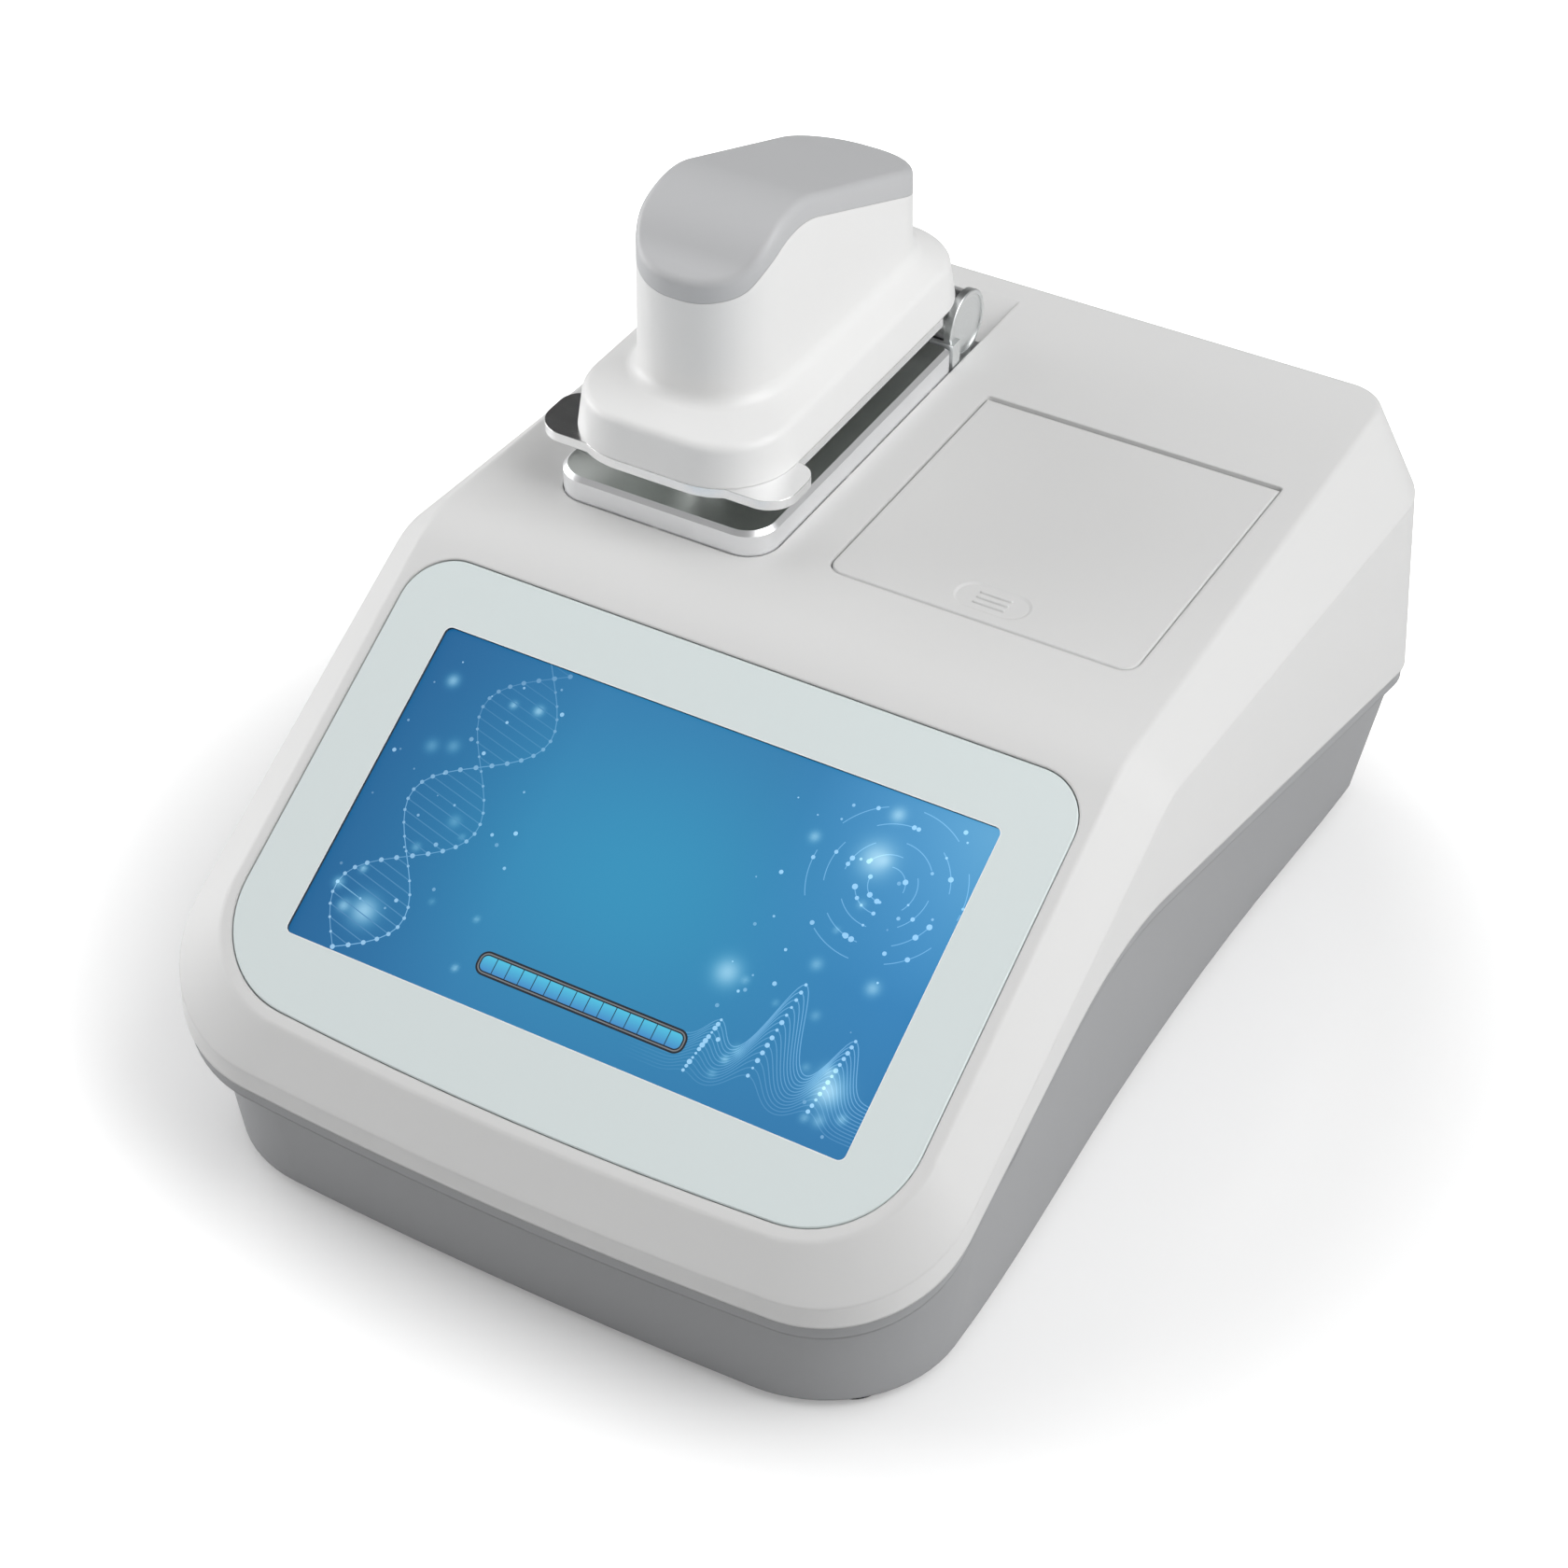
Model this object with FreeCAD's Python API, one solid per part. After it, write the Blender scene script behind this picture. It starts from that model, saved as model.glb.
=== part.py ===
import FreeCAD, Part
import math
import os

# Bench-top microvolume spectrophotometer: a wedge housing with a sloped touch screen,
# a hinged measuring arm over a pedestal block and a flap over a cuvette well.
# Frame: mm, origin at the middle of the footprint on the table, +X right, +Y to the back, +Z up.
# Sizes named _AT are places, given as x and y for the base or x and u for the frame of the top.

V = FreeCAD.Vector

# Clearances, overlaps and shared walls
GAP = 0.3
OVER = 1.0
CUT_UP = 5.0
CUT_DOWN = 12.0
REACH = 200.0
SKIN = 2.6
SLIDE_FIT = 0.15
PIN_FIT = 0.05
HOLE_FIT = 0.1
HEAD_FIT = 0.2

# The ridge where the screen slope meets the top
KINK_Y = -35.0
KINK_Z = 127.5
KINK_R = 30.0
TOP_TILT = 3.5
SCREEN_TILT = 33.33
RIM_TILT = 31.7

# Housing outline: the crest is the flat area's edge, the rim is where the bevel meets the wall
WALL_HALF = 107.5
CREST_HALF = WALL_HALF - 10.9
CREST_REAR_HALF = CREST_HALF - 5.0
BEVEL_DEPTH = 10.0
CREST_SHARE = 0.6
BEVEL_SHARE = 1.0 - CREST_SHARE
CREST_R = 2.0
CREST_FRONT = 132.0
CREST_FRONT_R = 30.0
CREST_BOW = 4.2
RIM_FRONT_Y = -151.9
RIM_FRONT_R = 36.0
RIM_BOW = 4.5
CREST_REAR = 169.6
CREST_REAR_R = 11.0
RIM_REAR_Y = 139.2
RIM_REAR_R = 26.0
REAR_LEAN = 13.5
SPLIT_FRONT = (-117.0, 55.7)
SPLIT_REAR = (85.5, 65.2)
SPLIT_FRONT_TILT = 28.0
SPLIT_REAR_TILT = -10.2
SPLIT_R = 76.0

# Base
FLOOR_Z = 3.0
LIP_H = 4.8
LIP_INSET = 1.0
TONGUE_H = 4.0
TONGUE_T = 1.8
BASE_TOP_Z = 85.5
BASE_FRONT_Y = -144.2
BASE_TOP_FRONT_Y = -152.1
BASE_BOW = 3.8
BASE_REAR_Y = 153.0
BASE_CORNER_R = 36.0
BASE_REAR_R = 10.0
BASE_HALF = WALL_HALF - 7.8
BASE_TOP_HALF = WALL_HALF + 3.0
BASE_CHAMFER = 7.0
WAIST_Y = (-66.0, -21.0, 20.0, 80.0, 140.0)
LOW_WAIST_IN = (1.8, 5.1, 7.0, 7.5, 6.2)
HIGH_WAIST_IN = (4.7, 6.9, 8.6, 6.5, 2.7)

# Feet and base screws
FOOT_R = 8.0
FOOT_SINK = 1.2
FOOT_WALL = 2.0
FOOT_EDGE = 0.8
FOOT_AT = ((BASE_HALF - 17.2, -129.0), (BASE_HALF - 21.7, 132.0))
JOIN_AT = ((60.0, -138.0), (58.0, 134.0))
JOIN_R = 4.5
JOIN_Z = 40.0
COLUMN_TOP = 110.0
SCREW_R = 1.5
SCREW_HEAD_R = 2.8
SCREW_HEAD_H = 2.0
SCREW_BITE = 7.0
HEAD_SINK = 6.0
SOCKET_R = 1.2
SOCKET_DEPTH = 1.2

# Screen, measured down the slope from the ridge
GLASS_HALF = CREST_HALF - 3.2
GLASS_TOP = 9.1
GLASS_FRONT = 128.8
GLASS_T = 1.8
GLASS_TOP_R = 13.5
GLASS_FRONT_R = 27.0
GLASS_EDGE = 0.3
GLASS_BED = 3.0
BED_PAST = 1.0
BED_T = 3.2
LCD_W = 154.21
LCD_H = 85.92
LCD_MID = 69.3
LCD_T = 4.5
LCD_FRAME = 1.5
WINDOW_MARGIN = 2.0

# Display bracket and driver board
SHEET_T = 1.2
BRACKET_HALF_X = 86.0
BRACKET_HALF_Y = 50.0
BRACKET_R = 4.0
EAR_IN = 3.0
EAR_R = 3.0
EAR_HOLE_R = 1.1
SLOT_PITCH = 36.0
SLOT_HALF = 12.0
SLOT_Y = (-30.0, -8.0)
SLOT_R = 3.0
DRIVER_X = (-40.0, 40.0)
DRIVER_Y = (6.0, 40.0)
DRIVER_R = 2.0
DRIVER_T = 1.6
PLUG_BOX = (-30.0, -6.0, 12.0, 18.0, 2.5)
CHIP_BOX = (8.0, 20.0, 14.0, 26.0, 1.2)

# Pedestal block and arm, in the frame of the top: x, u back along the top, n up from it
ARM_X = -44.7
BLOCK_HALF = 30.9
BLOCK_FRONT = 22.5
BLOCK_REAR = 122.0
BLOCK_TOP = 7.0
BLOCK_R = 8.7
BLOCK_REAR_R = 2.0
BLOCK_CHAMFER = 1.2
WELL_HALF_X = 22.0
BLOCK_WELL_U = (64.0, 112.0)
BLOCK_WELL_R = 4.0
BLOCK_WELL_TOP = 1.0
RIB_U = (66.7, 110.8)
RIB_HALF = 0.9
RIB_ROOT = 0.5
RIB_LOW = 4.0
RIB_TOP = 0.3
ARM_HOLE_DEPTH = 30.0
POCKET_U = 143.0
POCKET_REAR = 160.5
RAMP_DEPTH = 9.5
RAMP_BACK = 3.0
PEDESTAL_U = 46.0
PEDESTAL_R = 5.0
PEDESTAL_FLANGE = 2.5
PEDESTAL_TIP_IN = 2.0
TIP_R = 2.5
MEASURE_N = 10.5
FIBRE_R = 1.3
FIBRE_RISE = 30.0

# Optical bench and what hangs on it
BENCH_TOP = -22.0
BENCH_T = 4.0
BENCH_X = CREST_REAR_HALF - 7.6
BENCH_AT = ((BENCH_X, 14.0), (BENCH_X, 150.0))
BENCH_BOSS_R = 5.0
BENCH_HOLE = 9.0
BENCH_SCREW_L = 10.0
BENCH_EDGE = 8.0
BENCH_U = (6.0, 156.0)
BENCH_R = 12.0
BENCH_BORE_R = 4.0
BENCH_SLOT_HALF = (30.0, 5.0)
BENCH_SLOT_U = (30.0, 128.0)
BENCH_SLOT_R = 4.0
BENCH_WELL_R = 2.0
SPECTRO_X = (-84.0, -16.0)
SPECTRO_U = (60.0, 118.0)
SPECTRO_H = 36.0
SPECTRO_R = 3.0
INLET_U = 80.0
INLET_L = 6.0
INLET_R = 5.0
INLET_SINK = 0.5
LAMP_X = (12.0, 72.0)
LAMP_U = (96.0, 150.0)
LAMP_DROP = 4.0
LAMP_H = 30.0
FIN_H = 6.0
FIN_T = 2.5
FIN_PITCH = 8.0
FIN_START = 2.0
FINS = 7
NECK_U = (112.0, 146.0)

# Hinge of the arm
PLATE_TOP = 18.0
PLATE_T = 2.7
HINGE_U = 132.5
HINGE_N = 8.2
HINGE_R = 9.4
KNUCKLE_R = 8.6
KNUCKLE_FIT = 0.4
PIN_R = 3.0
PIN_SHORT = 0.6
CHEEK_T = 2.2
CHEEK_EDGE = 0.4
DISH_RIM = 1.2
DISH_DEPTH = 0.4
STEM_HALF = 4.0
STEM_LOW = -5.0
STEM_IN = 0.8
SADDLE_HALF = 9.0
SADDLE_TOP = -3.0
SADDLE_WEB = 6.0
SADDLE_WELL_X = 20.0
SADDLE_WELL_TOP = -6.0
BAR_GAP = 0.5

# Arm plate, skirt, tower and cap
SKIRT_HALF = 29.9
SKIRT_FRONT = 20.8
SKIRT_REAR = 140.0
SKIRT_R = 20.0
SKIRT_H = 11.0
SKIRT_DRAFT = 1.6
SHOULDER_RISE = 3.5
SHOULDER_R = 2.5
TOWER_HALF = 18.6
TOWER_FRONT = 54.2
TOWER_REAR = 114.0
TOWER_FOOT_GROW = 1.0
TOWER_FLAT = 1.5
TOWER_FOOT_R = 4.0
FORM_TOP = 84.0
WALL = 2.2
SEAM = ((5.0, 49.9), (42.0, 62.1), (56.8, 75.1), (145.0, 40.7))
SEAM_R = (12.0, 26.0)
CAP_FRONT_RISE = 5.8
CAP_REAR_RISE = 7.9
CAP_LOW_N = 48.0
CAP_EDGE_R = 2.5
CAP_RIM_MIN = 9.0
CAP_TONGUE_H = 4.0
CAP_TONGUE_T = 1.7
CAP_TONGUE_UP = 0.5
CAP_RING_UP = 1.5
CAP_RING_OUT = 0.5
PLATE_REAR = 119.0
PLATE_REAR_R = 1.0
THUMB_HALF = 36.1
THUMB_U = (23.5, 42.5)
THUMB_R = (8.0, 6.0)
CARRIER_HALF = (14.0, 12.0)
CARRIER_H = 8.0
TIP_RISE = 6.0

# Cuvette flap, well and holder
LID_X = 42.47
LID_W = 83.25
LID_FRONT = 28.93
LID_REAR = 115.47
LID_T = 4.0
LID_GAP = 0.4
LID_R = 4.3
LID_REAR_R = 0.6
LID_EDGE = 0.4
LID_PIN_R = 0.8
PIN_END = 1.6
WELL = 12.6
WELL_U = 70.0
GRIP_MID = 37.6
GRIP_HALF = (10.15, 5.2)
GRIP_R = 5.1
GRIP_IN = 0.7
GRIP_DEPTH = 0.35
GRIP_BAR_HALF = 4.0
GRIP_BAR_R = 0.45
GRIP_PITCH = 2.1
HOLDER_HALF = 14.0
HOLDER_LOW = -42.0
FLANGE_HALF = 20.0
FLANGE_T = 3.0
CUVETTE_LOW = -40.0
BEAM_N = -32.0
BEAM_R = 3.0

# Boards in the base
BOARD_Z = 14.0
BOARD_T = 1.6
BOARD_AT = ((68.0, -92.0), (68.0, 52.0))
BOARD_HALF = 75.0
BOARD_Y = (-100.0, 60.0)
BOARD_R = 3.0
STANDOFF_R = 3.5
IO_X = -2.0
IO_AT = ((44.0, BASE_REAR_Y - 31.0), (44.0, BASE_REAR_Y - 9.0))
IO_HALF = 49.0
IO_Y = (BASE_REAR_Y - 35.0, BASE_REAR_Y - 5.0)
IO_R = 2.0
IO_Z = 18.0
IO_STANDOFF_R = 3.0
BOARD_HOLE_R = 1.2
BOARD_SCREW_R = 1.0
BOARD_HEAD_R = 2.2
BOARD_HEAD_H = 1.5
BOARD_BITE = 6.0
PROCESSOR = (-20.0, 4.0, -30.0, -6.0, 1.5)
MEMORY = (20.0, 30.0, -28.0, -12.0, 1.2)
MEMORY_PITCH = 14.0
MEMORIES = 3
CAN_X = -55.0
CAN_Y = 40.0
CAN_R = 4.0
CAN_H = 10.0
CAN_PITCH = 12.0
CANS = 4
HEADER = (10.0, 50.0, 44.0, 54.0, 8.0)

# Sockets on the back
PORT_SET = 0.2
PORT_L = 16.8
PORT_WALL = 0.5
PORT_DEPTH = 14.0
PORT_TONGUE_IN = 1.6
PORT_TONGUE_SET = 1.5
PORT_TONGUE_L = 13.0
PORT_CUT = 3.0
USB_A_X = (6.0, 26.0)
USB_A_W = 13.2
USB_A_H = 5.8
USB_A_TONGUE = 1.9
USB_B_X = -16.0
USB_B_W = 12.0
USB_B_H = 11.0
USB_B_TONGUE = 4.5
JACK_X = -38.0
JACK_W = 9.0
JACK_H = 11.0
JACK_L = 14.8
JACK_R = 3.2
JACK_DEPTH = 10.0
JACK_UP = 6.5
JACK_PIN_R = 1.0
JACK_PIN_L = 9.5

# Power switch
SWITCH_X = BASE_HALF - 27.7
SWITCH_Z = 32.0
SWITCH_W = 12.6
SWITCH_H = 19.6
SWITCH_DEPTH = 14.0
BEZEL_HALF = (7.6, 11.2)
BEZEL_T = 1.5
BEZEL_R = 1.0
ROCKER_HALF = 4.7
ROCKER_R = 0.5
ROCKER_HOLE = (5.0, 8.4)
ROCKER_HOLE_DEPTH = 10.0
ROCKER_AXIS = 5.5
ROCKER_TAIL = 2.0
ROCKER_PROFILE = ((0.2, -6.2), (0.7, -0.5), (1.9, 6.2))
ROCKER_TAIL_HALF = 5.4
SWITCH_PIN_R = 1.0
SWITCH_PIN_HALF = 6.0


def tilted(y, z, angle):
    return FreeCAD.Placement(V(0, y, z), FreeCAD.Rotation(V(1, 0, 0), angle))


TOP = tilted(KINK_Y, KINK_Z, TOP_TILT)
SLOPE = tilted(KINK_Y, KINK_Z, SCREEN_TILT)


def put(shape, frame):
    return shape.transformed(frame.toMatrix())


def both_sides(places, middle=0.0):
    """The places as given and mirrored about the line x = middle."""
    return [(middle + side * x, y) for x, y in places for side in (-1, 1)]


def arc(centre, r, a0, a1):
    """Arc in the XY plane from angle a0 to a1 in degrees."""
    angles = [math.radians(a) for a in (a0, (a0 + a1) / 2, a1)]
    return Part.Arc(*[centre + V(r * math.cos(a), r * math.sin(a), 0) for a in angles]).toShape()


def bow_arc(half, front, bow, r):
    """Radius and middle of a bowed front edge, the y of its corner arcs and the angle where they meet it."""
    big = (half * half + bow * bow) / (2 * bow)
    middle = front - bow + big
    corner_y = middle - math.sqrt((big - r) ** 2 - (half - r) ** 2)
    return big, middle, corner_y, math.degrees(math.atan2(corner_y - middle, half - r))


def bowed(half, front, bow, r, rear, rear_r=0.0):
    """Closed outline with a front edge that bulges by bow, round front corners and a straight rear."""
    big, middle, yc, turn = bow_arc(half, front, bow, r)
    edges = [arc(V(0, middle, 0), big, -180 - turn, turn)]
    edges.append(arc(V(half - r, yc, 0), r, turn, 0))
    edges.append(Part.makeLine(V(half, yc, 0), V(half, rear - rear_r, 0)))
    if rear_r > 0:
        edges.append(arc(V(half - rear_r, rear - rear_r, 0), rear_r, 0, 90))
    edges.append(Part.makeLine(V(half - rear_r, rear, 0), V(rear_r - half, rear, 0)))
    if rear_r > 0:
        edges.append(arc(V(rear_r - half, rear - rear_r, 0), rear_r, 90, 180))
    edges.append(Part.makeLine(V(-half, rear - rear_r, 0), V(-half, yc, 0)))
    edges.append(arc(V(r - half, yc, 0), r, 180, -180 - turn + 360))
    return Part.Wire(edges)


def rounded(points, radii):
    """Closed outline of straight sides whose corners have the given radii, 0 for a sharp one."""
    ends = []
    for i, p in enumerate(points):
        a = (points[i - 1] - p).normalize()
        b = (points[(i + 1) % len(points)] - p).normalize()
        r = radii[i]
        if r == 0:
            ends.append((p, None, p))
            continue
        half_turn = a.getAngle(b) / 2
        inward = (a + b).normalize()
        t = r / math.tan(half_turn)
        centre = p + inward * (r / math.sin(half_turn))
        ends.append((p + a * t, centre - inward * r, p + b * t))
    edges = []
    for i, (start, mid, stop) in enumerate(ends):
        if mid is not None:
            edges.append(Part.Arc(start, mid, stop).toShape())
        edges.append(Part.makeLine(stop, ends[(i + 1) % len(ends)][0]))
    return Part.Wire(edges)


def rect(x0, x1, y0, y1, radii=(0, 0, 0, 0), z=0.0):
    """Rectangle outline; the radii go round from the front left corner to the rear left one."""
    return rounded([V(x0, y0, z), V(x1, y0, z), V(x1, y1, z), V(x0, y1, z)], radii)


def prism(wire, z0, z1):
    """Straight solid on a flat outline in the XY plane, from z0 to z1."""
    face = Part.Face(wire)
    face.translate(V(0, 0, z0 - wire.BoundBox.ZMin))
    return face.extrude(V(0, 0, z1 - z0))


def box(x0, x1, y0, y1, z0, z1):
    return Part.makeBox(x1 - x0, y1 - y0, z1 - z0, V(x0, y0, z0))


def box_at(x, y, half_x, half_y, z0, z1):
    return box(x - half_x, x + half_x, y - half_y, y + half_y, z0, z1)


def post(x, y, r, z0, z1):
    return Part.makeCylinder(r, z1 - z0, V(x, y, z0))


def rod(x0, x1, y, z, r):
    return Part.makeCylinder(r, x1 - x0, V(x0, y, z), V(1, 0, 0))


def rod_at(x, half, y, z, r):
    return rod(x - half, x + half, y, z, r)


def side_profile(points, x0, x1):
    """Solid with a straight-sided outline in Y and Z, from x0 to x1."""
    wire = Part.makePolygon([V(x0, y, z) for y, z in points] + [V(x0, *points[0])])
    return Part.Face(wire).extrude(V(x1 - x0, 0, 0))


def fuse(shapes):
    shapes = list(shapes)
    return shapes[0].multiFuse(shapes[1:]).removeSplitter()


def loft(*wires):
    return Part.makeLoft(list(wires), True, True)


def edges_above(shape, z):
    return [e for e in shape.Edges if e.BoundBox.ZMin > z - 0.01]


# Housing form


def outer_form(t):
    """Solid of the whole housing above the base, with every face moved in by t."""
    tangent = KINK_R * math.tan(math.radians(SCREEN_TILT - TOP_TILT) / 2)
    crest = CREST_HALF - CREST_SHARE * t
    crest_rear = CREST_REAR_HALF - CREST_SHARE * t
    crest_r = CREST_FRONT_R - CREST_SHARE * t
    wall = WALL_HALF - t
    depth = BEVEL_DEPTH + BEVEL_SHARE * t
    # slope part, from the screen plane out to the rim and straight down
    start = SLOPE.multiply(tilted(-tangent, 0, 0))
    rim = start.multVec(V(0, 0, -depth))
    reach = (rim.y - RIM_FRONT_Y - t) / math.cos(math.radians(RIM_TILT))
    upper = put(bowed(crest, tangent - CREST_FRONT + t, CREST_BOW, crest_r, 0), start)
    upper.translate(start.Rotation.multVec(V(0, 0, -t)))
    lower = put(bowed(wall, -reach, RIM_BOW, RIM_FRONT_R - t, 0), tilted(rim.y, rim.z, RIM_TILT))
    parts = [loft(lower, upper), Part.Face(lower).extrude(V(0, 0, -rim.z - CUT_UP))]
    # ridge, one section turned from the slope to the top
    corners = [(-crest, -t), (crest, -t), (wall, -depth), (wall, -KINK_R), (-wall, -KINK_R), (-wall, -depth)]
    section = Part.makePolygon([start.multVec(V(x, 0, n)) for x, n in corners + corners[:1]])
    hub = start.multVec(V(0, 0, -KINK_R))
    parts.append(Part.Face(section).revolve(hub, V(-1, 0, 0), SCREEN_TILT - TOP_TILT))
    under_ridge = [(rim.y, rim.z), (hub.y, hub.z), (hub.y, -CUT_UP), (rim.y, -CUT_UP)]
    parts.append(side_profile(under_ridge, -wall, wall))
    # top part with the leaning rear wall
    back = TOP.multiply(tilted(tangent, 0, 0))
    ledge = back.multVec(V(0, 0, -depth))
    rear = CREST_REAR - tangent - t
    crest_points = [V(-crest, 0, -t), V(crest, 0, -t), V(crest_rear, rear, -t), V(-crest_rear, rear, -t)]
    upper = put(rounded(crest_points, (0, 0, CREST_REAR_R, CREST_REAR_R)), back)
    ledge_y = RIM_REAR_Y - t
    foot_y = ledge_y + (ledge.z + CUT_UP) * math.tan(math.radians(REAR_LEAN))
    radii = (0, 0, RIM_REAR_R - t, RIM_REAR_R - t)
    lower = rect(-wall, wall, ledge.y, ledge_y, radii, ledge.z)
    foot = rect(-wall, wall, ledge.y, foot_y, radii, -CUT_UP)
    parts += [loft(lower, upper), loft(foot, lower)]
    return fuse(parts)


def split_side(drop, above):
    """Everything above or below the parting surface, which is lowered by drop."""
    f_tan = math.tan(math.radians(SPLIT_FRONT_TILT))
    r_tan = math.tan(math.radians(SPLIT_REAR_TILT))
    fy, fz = SPLIT_FRONT
    ry, rz = SPLIT_REAR
    front = V(0, -REACH, fz + f_tan * (-REACH - fy) - drop)
    rear = V(0, REACH, rz + r_tan * (REACH - ry) - drop)
    crossing = (rz - fz + f_tan * fy - r_tan * ry) / (f_tan - r_tan)
    peak = V(0, crossing, fz + f_tan * (crossing - fy) - drop)
    far = 2 * REACH if above else -REACH
    wire = rounded([V(0, -REACH, far), front, peak, rear, V(0, REACH, far)], (0, 0, SPLIT_R, 0, 0))
    block = Part.Face(wire).extrude(V(2 * REACH, 0, 0))
    block.translate(V(-REACH, 0, 0))
    return block


def softened(form):
    """The outer form with a small round along its crest."""
    flat_faces = [f for f in form.Faces if f.normalAt(0, 0).z > 0.8]
    seen = [e.hashCode() for f in flat_faces for e in f.Edges]
    crest = [e for e in form.Edges if seen.count(e.hashCode()) == 1]
    return form.makeFillet(CREST_R, crest)


outer = softened(outer_form(0))
inner = outer_form(SKIN)

# Upper shell: what is added inside the skin


def screw_columns(z0, z1, r):
    return [post(x, y, r, z0, z1) for x, y in both_sides(JOIN_AT)]


bench_at = both_sides(BENCH_AT)
bed_low = -GLASS_T - BED_T
pocket_half = BLOCK_HALF + GAP
lid_half = LID_W / 2 + LID_GAP
lid_x = (LID_X - LID_W / 2, LID_X + LID_W / 2)
lid_axis = (LID_REAR - LID_T / 2, -LID_T / 2)
bed_half = GLASS_HALF + GLASS_BED
bed_wire = bowed(bed_half, -GLASS_FRONT - BED_PAST, CREST_BOW, GLASS_FRONT_R, BED_PAST - GLASS_TOP, GLASS_TOP_R)
bed = prism(bed_wire, bed_low, -GLASS_T)
bed = put(bed, SLOPE).common(outer)
back_points = [(POCKET_U, -CUT_DOWN), (POCKET_U, -OVER)]
back_points += [(POCKET_REAR + RAMP_BACK, -OVER), (POCKET_REAR + RAMP_BACK, -SKIN)]
ramp_back = side_profile(back_points, ARM_X - BLOCK_HALF - SKIN, ARM_X + BLOCK_HALF + SKIN)
tray = box(LID_X - lid_half - SKIN, LID_X + lid_half + SKIN, LID_FRONT - LID_GAP - SKIN,
           LID_REAR + LID_GAP + SKIN, -LID_T - LID_GAP - SKIN, -OVER)
bosses = [post(x, u, BENCH_BOSS_R, BENCH_TOP, -OVER) for x, u in bench_at]
columns = [c.common(outer) for c in screw_columns(JOIN_Z, REACH, JOIN_R)]
under_top = [put(s, TOP).common(outer) for s in [ramp_back, tray] + bosses]
shell = fuse([outer.cut(inner), bed] + under_top + columns)

# Upper shell: what is cut from it, and the parting with the base

glass_cut = prism(bowed(GLASS_HALF + GAP, -GLASS_FRONT - GAP, CREST_BOW, GLASS_FRONT_R + GAP,
                        -GLASS_TOP + GAP, GLASS_TOP_R + GAP), -GLASS_T, CUT_UP)
window = box_at(0, -LCD_MID, LCD_W / 2 + WINDOW_MARGIN, LCD_H / 2 + WINDOW_MARGIN, -CUT_DOWN, OVER)
arm_open = rect(ARM_X - pocket_half, ARM_X + pocket_half, BLOCK_FRONT - GAP, POCKET_U,
                (BLOCK_R + GAP, BLOCK_R + GAP, 0, 0))
arm_hole = prism(arm_open, -ARM_HOLE_DEPTH, CUT_UP)
ramp_points = [(POCKET_U - OVER, -RAMP_DEPTH), (POCKET_U - OVER, CUT_UP)]
ramp_points += [(POCKET_REAR, CUT_UP), (POCKET_REAR, 0)]
ramp_cut = side_profile(ramp_points, ARM_X - pocket_half, ARM_X + pocket_half)
lid_hole_r = (LID_R + LID_GAP, LID_R + LID_GAP, LID_REAR_R + LID_GAP, LID_REAR_R + LID_GAP)
lid_wire = rect(LID_X - lid_half, LID_X + lid_half, LID_FRONT - LID_GAP, LID_REAR + LID_GAP, lid_hole_r)
lid_hole = prism(lid_wire, -LID_T - LID_GAP, CUT_UP)
well_hole = box_at(LID_X, WELL_U, WELL, WELL, -CUT_DOWN, OVER)
lid_pin_hole = rod_at(LID_X, lid_half + PIN_END, *lid_axis, LID_PIN_R)
bench_holes = [post(x, u, SCREW_R, BENCH_TOP - OVER, BENCH_TOP + BENCH_HOLE) for x, u in bench_at]
shell = shell.cut([put(s, SLOPE) for s in (glass_cut, window)])
top_cuts = [arm_hole, ramp_cut, lid_hole, well_hole, lid_pin_hole] + bench_holes
shell = shell.cut([put(s, TOP) for s in top_cuts])
lower_columns = fuse([c.common(inner) for c in screw_columns(JOIN_Z, COLUMN_TOP, JOIN_R)])
shell = shell.common(split_side(0, True)).fuse(lower_columns)
rib_spots = [(ARM_X, BLOCK_FRONT - GAP, 0)]
rib_spots += [(ARM_X + side * pocket_half, u, side) for side in (-1, 1) for u in RIB_U]
ribs = []
for x, u, side in rib_spots:
    rib = box(-RIB_HALF, RIB_HALF, -RIB_ROOT, GAP, -RIB_LOW, -RIB_TOP)
    rib.rotate(V(0, 0, 0), V(0, 0, 1), 90 * side)
    rib.translate(V(x, u, 0))
    ribs.append(put(rib, TOP))
shell = shell.fuse(ribs).cut(screw_columns(JOIN_Z - OVER, JOIN_Z + SCREW_BITE + OVER, SCREW_R))

# Base shell


def side_line(points, z):
    """Smooth line through points of y and x that leaves and arrives along +Y."""
    curve = Part.BSplineCurve()
    along = V(0, 1, 0)
    curve.interpolate(Points=[V(x, y, z) for y, x in points], InitialTangent=along, FinalTangent=along)
    return curve.toShape()


def base_outline(z, half, front, waist_in, inset):
    """Base outline with a bowed front, round corners and sides drawn in by the waist."""
    r = BASE_CORNER_R - inset
    h = half - inset
    big, middle, yc, turn = bow_arc(h, front + inset, BASE_BOW, r)
    rear = BASE_REAR_Y - inset
    rr = BASE_REAR_R
    waist = [(y, h - drawn) for y, drawn in zip(WAIST_Y, waist_in)]
    last = waist[-1][1]
    side = [(yc, h)] + waist[:-1] + [(rear - rr, last)]
    edges = [arc(V(0, middle, z), big, -180 - turn, turn)]
    edges += [arc(V(h - r, yc, z), r, turn, 0), side_line(side, z), arc(V(last - rr, rear - rr, z), rr, 0, 90)]
    edges += [Part.makeLine(V(last - rr, rear, z), V(rr - last, rear, z))]
    edges += [arc(V(rr - last, rear - rr, z), rr, 90, 180), side_line([(y, -x) for y, x in side], z)]
    edges += [arc(V(r - h, yc, z), r, 180, 180 - turn)]
    return Part.Wire(Part.__sortEdges__(edges))


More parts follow.
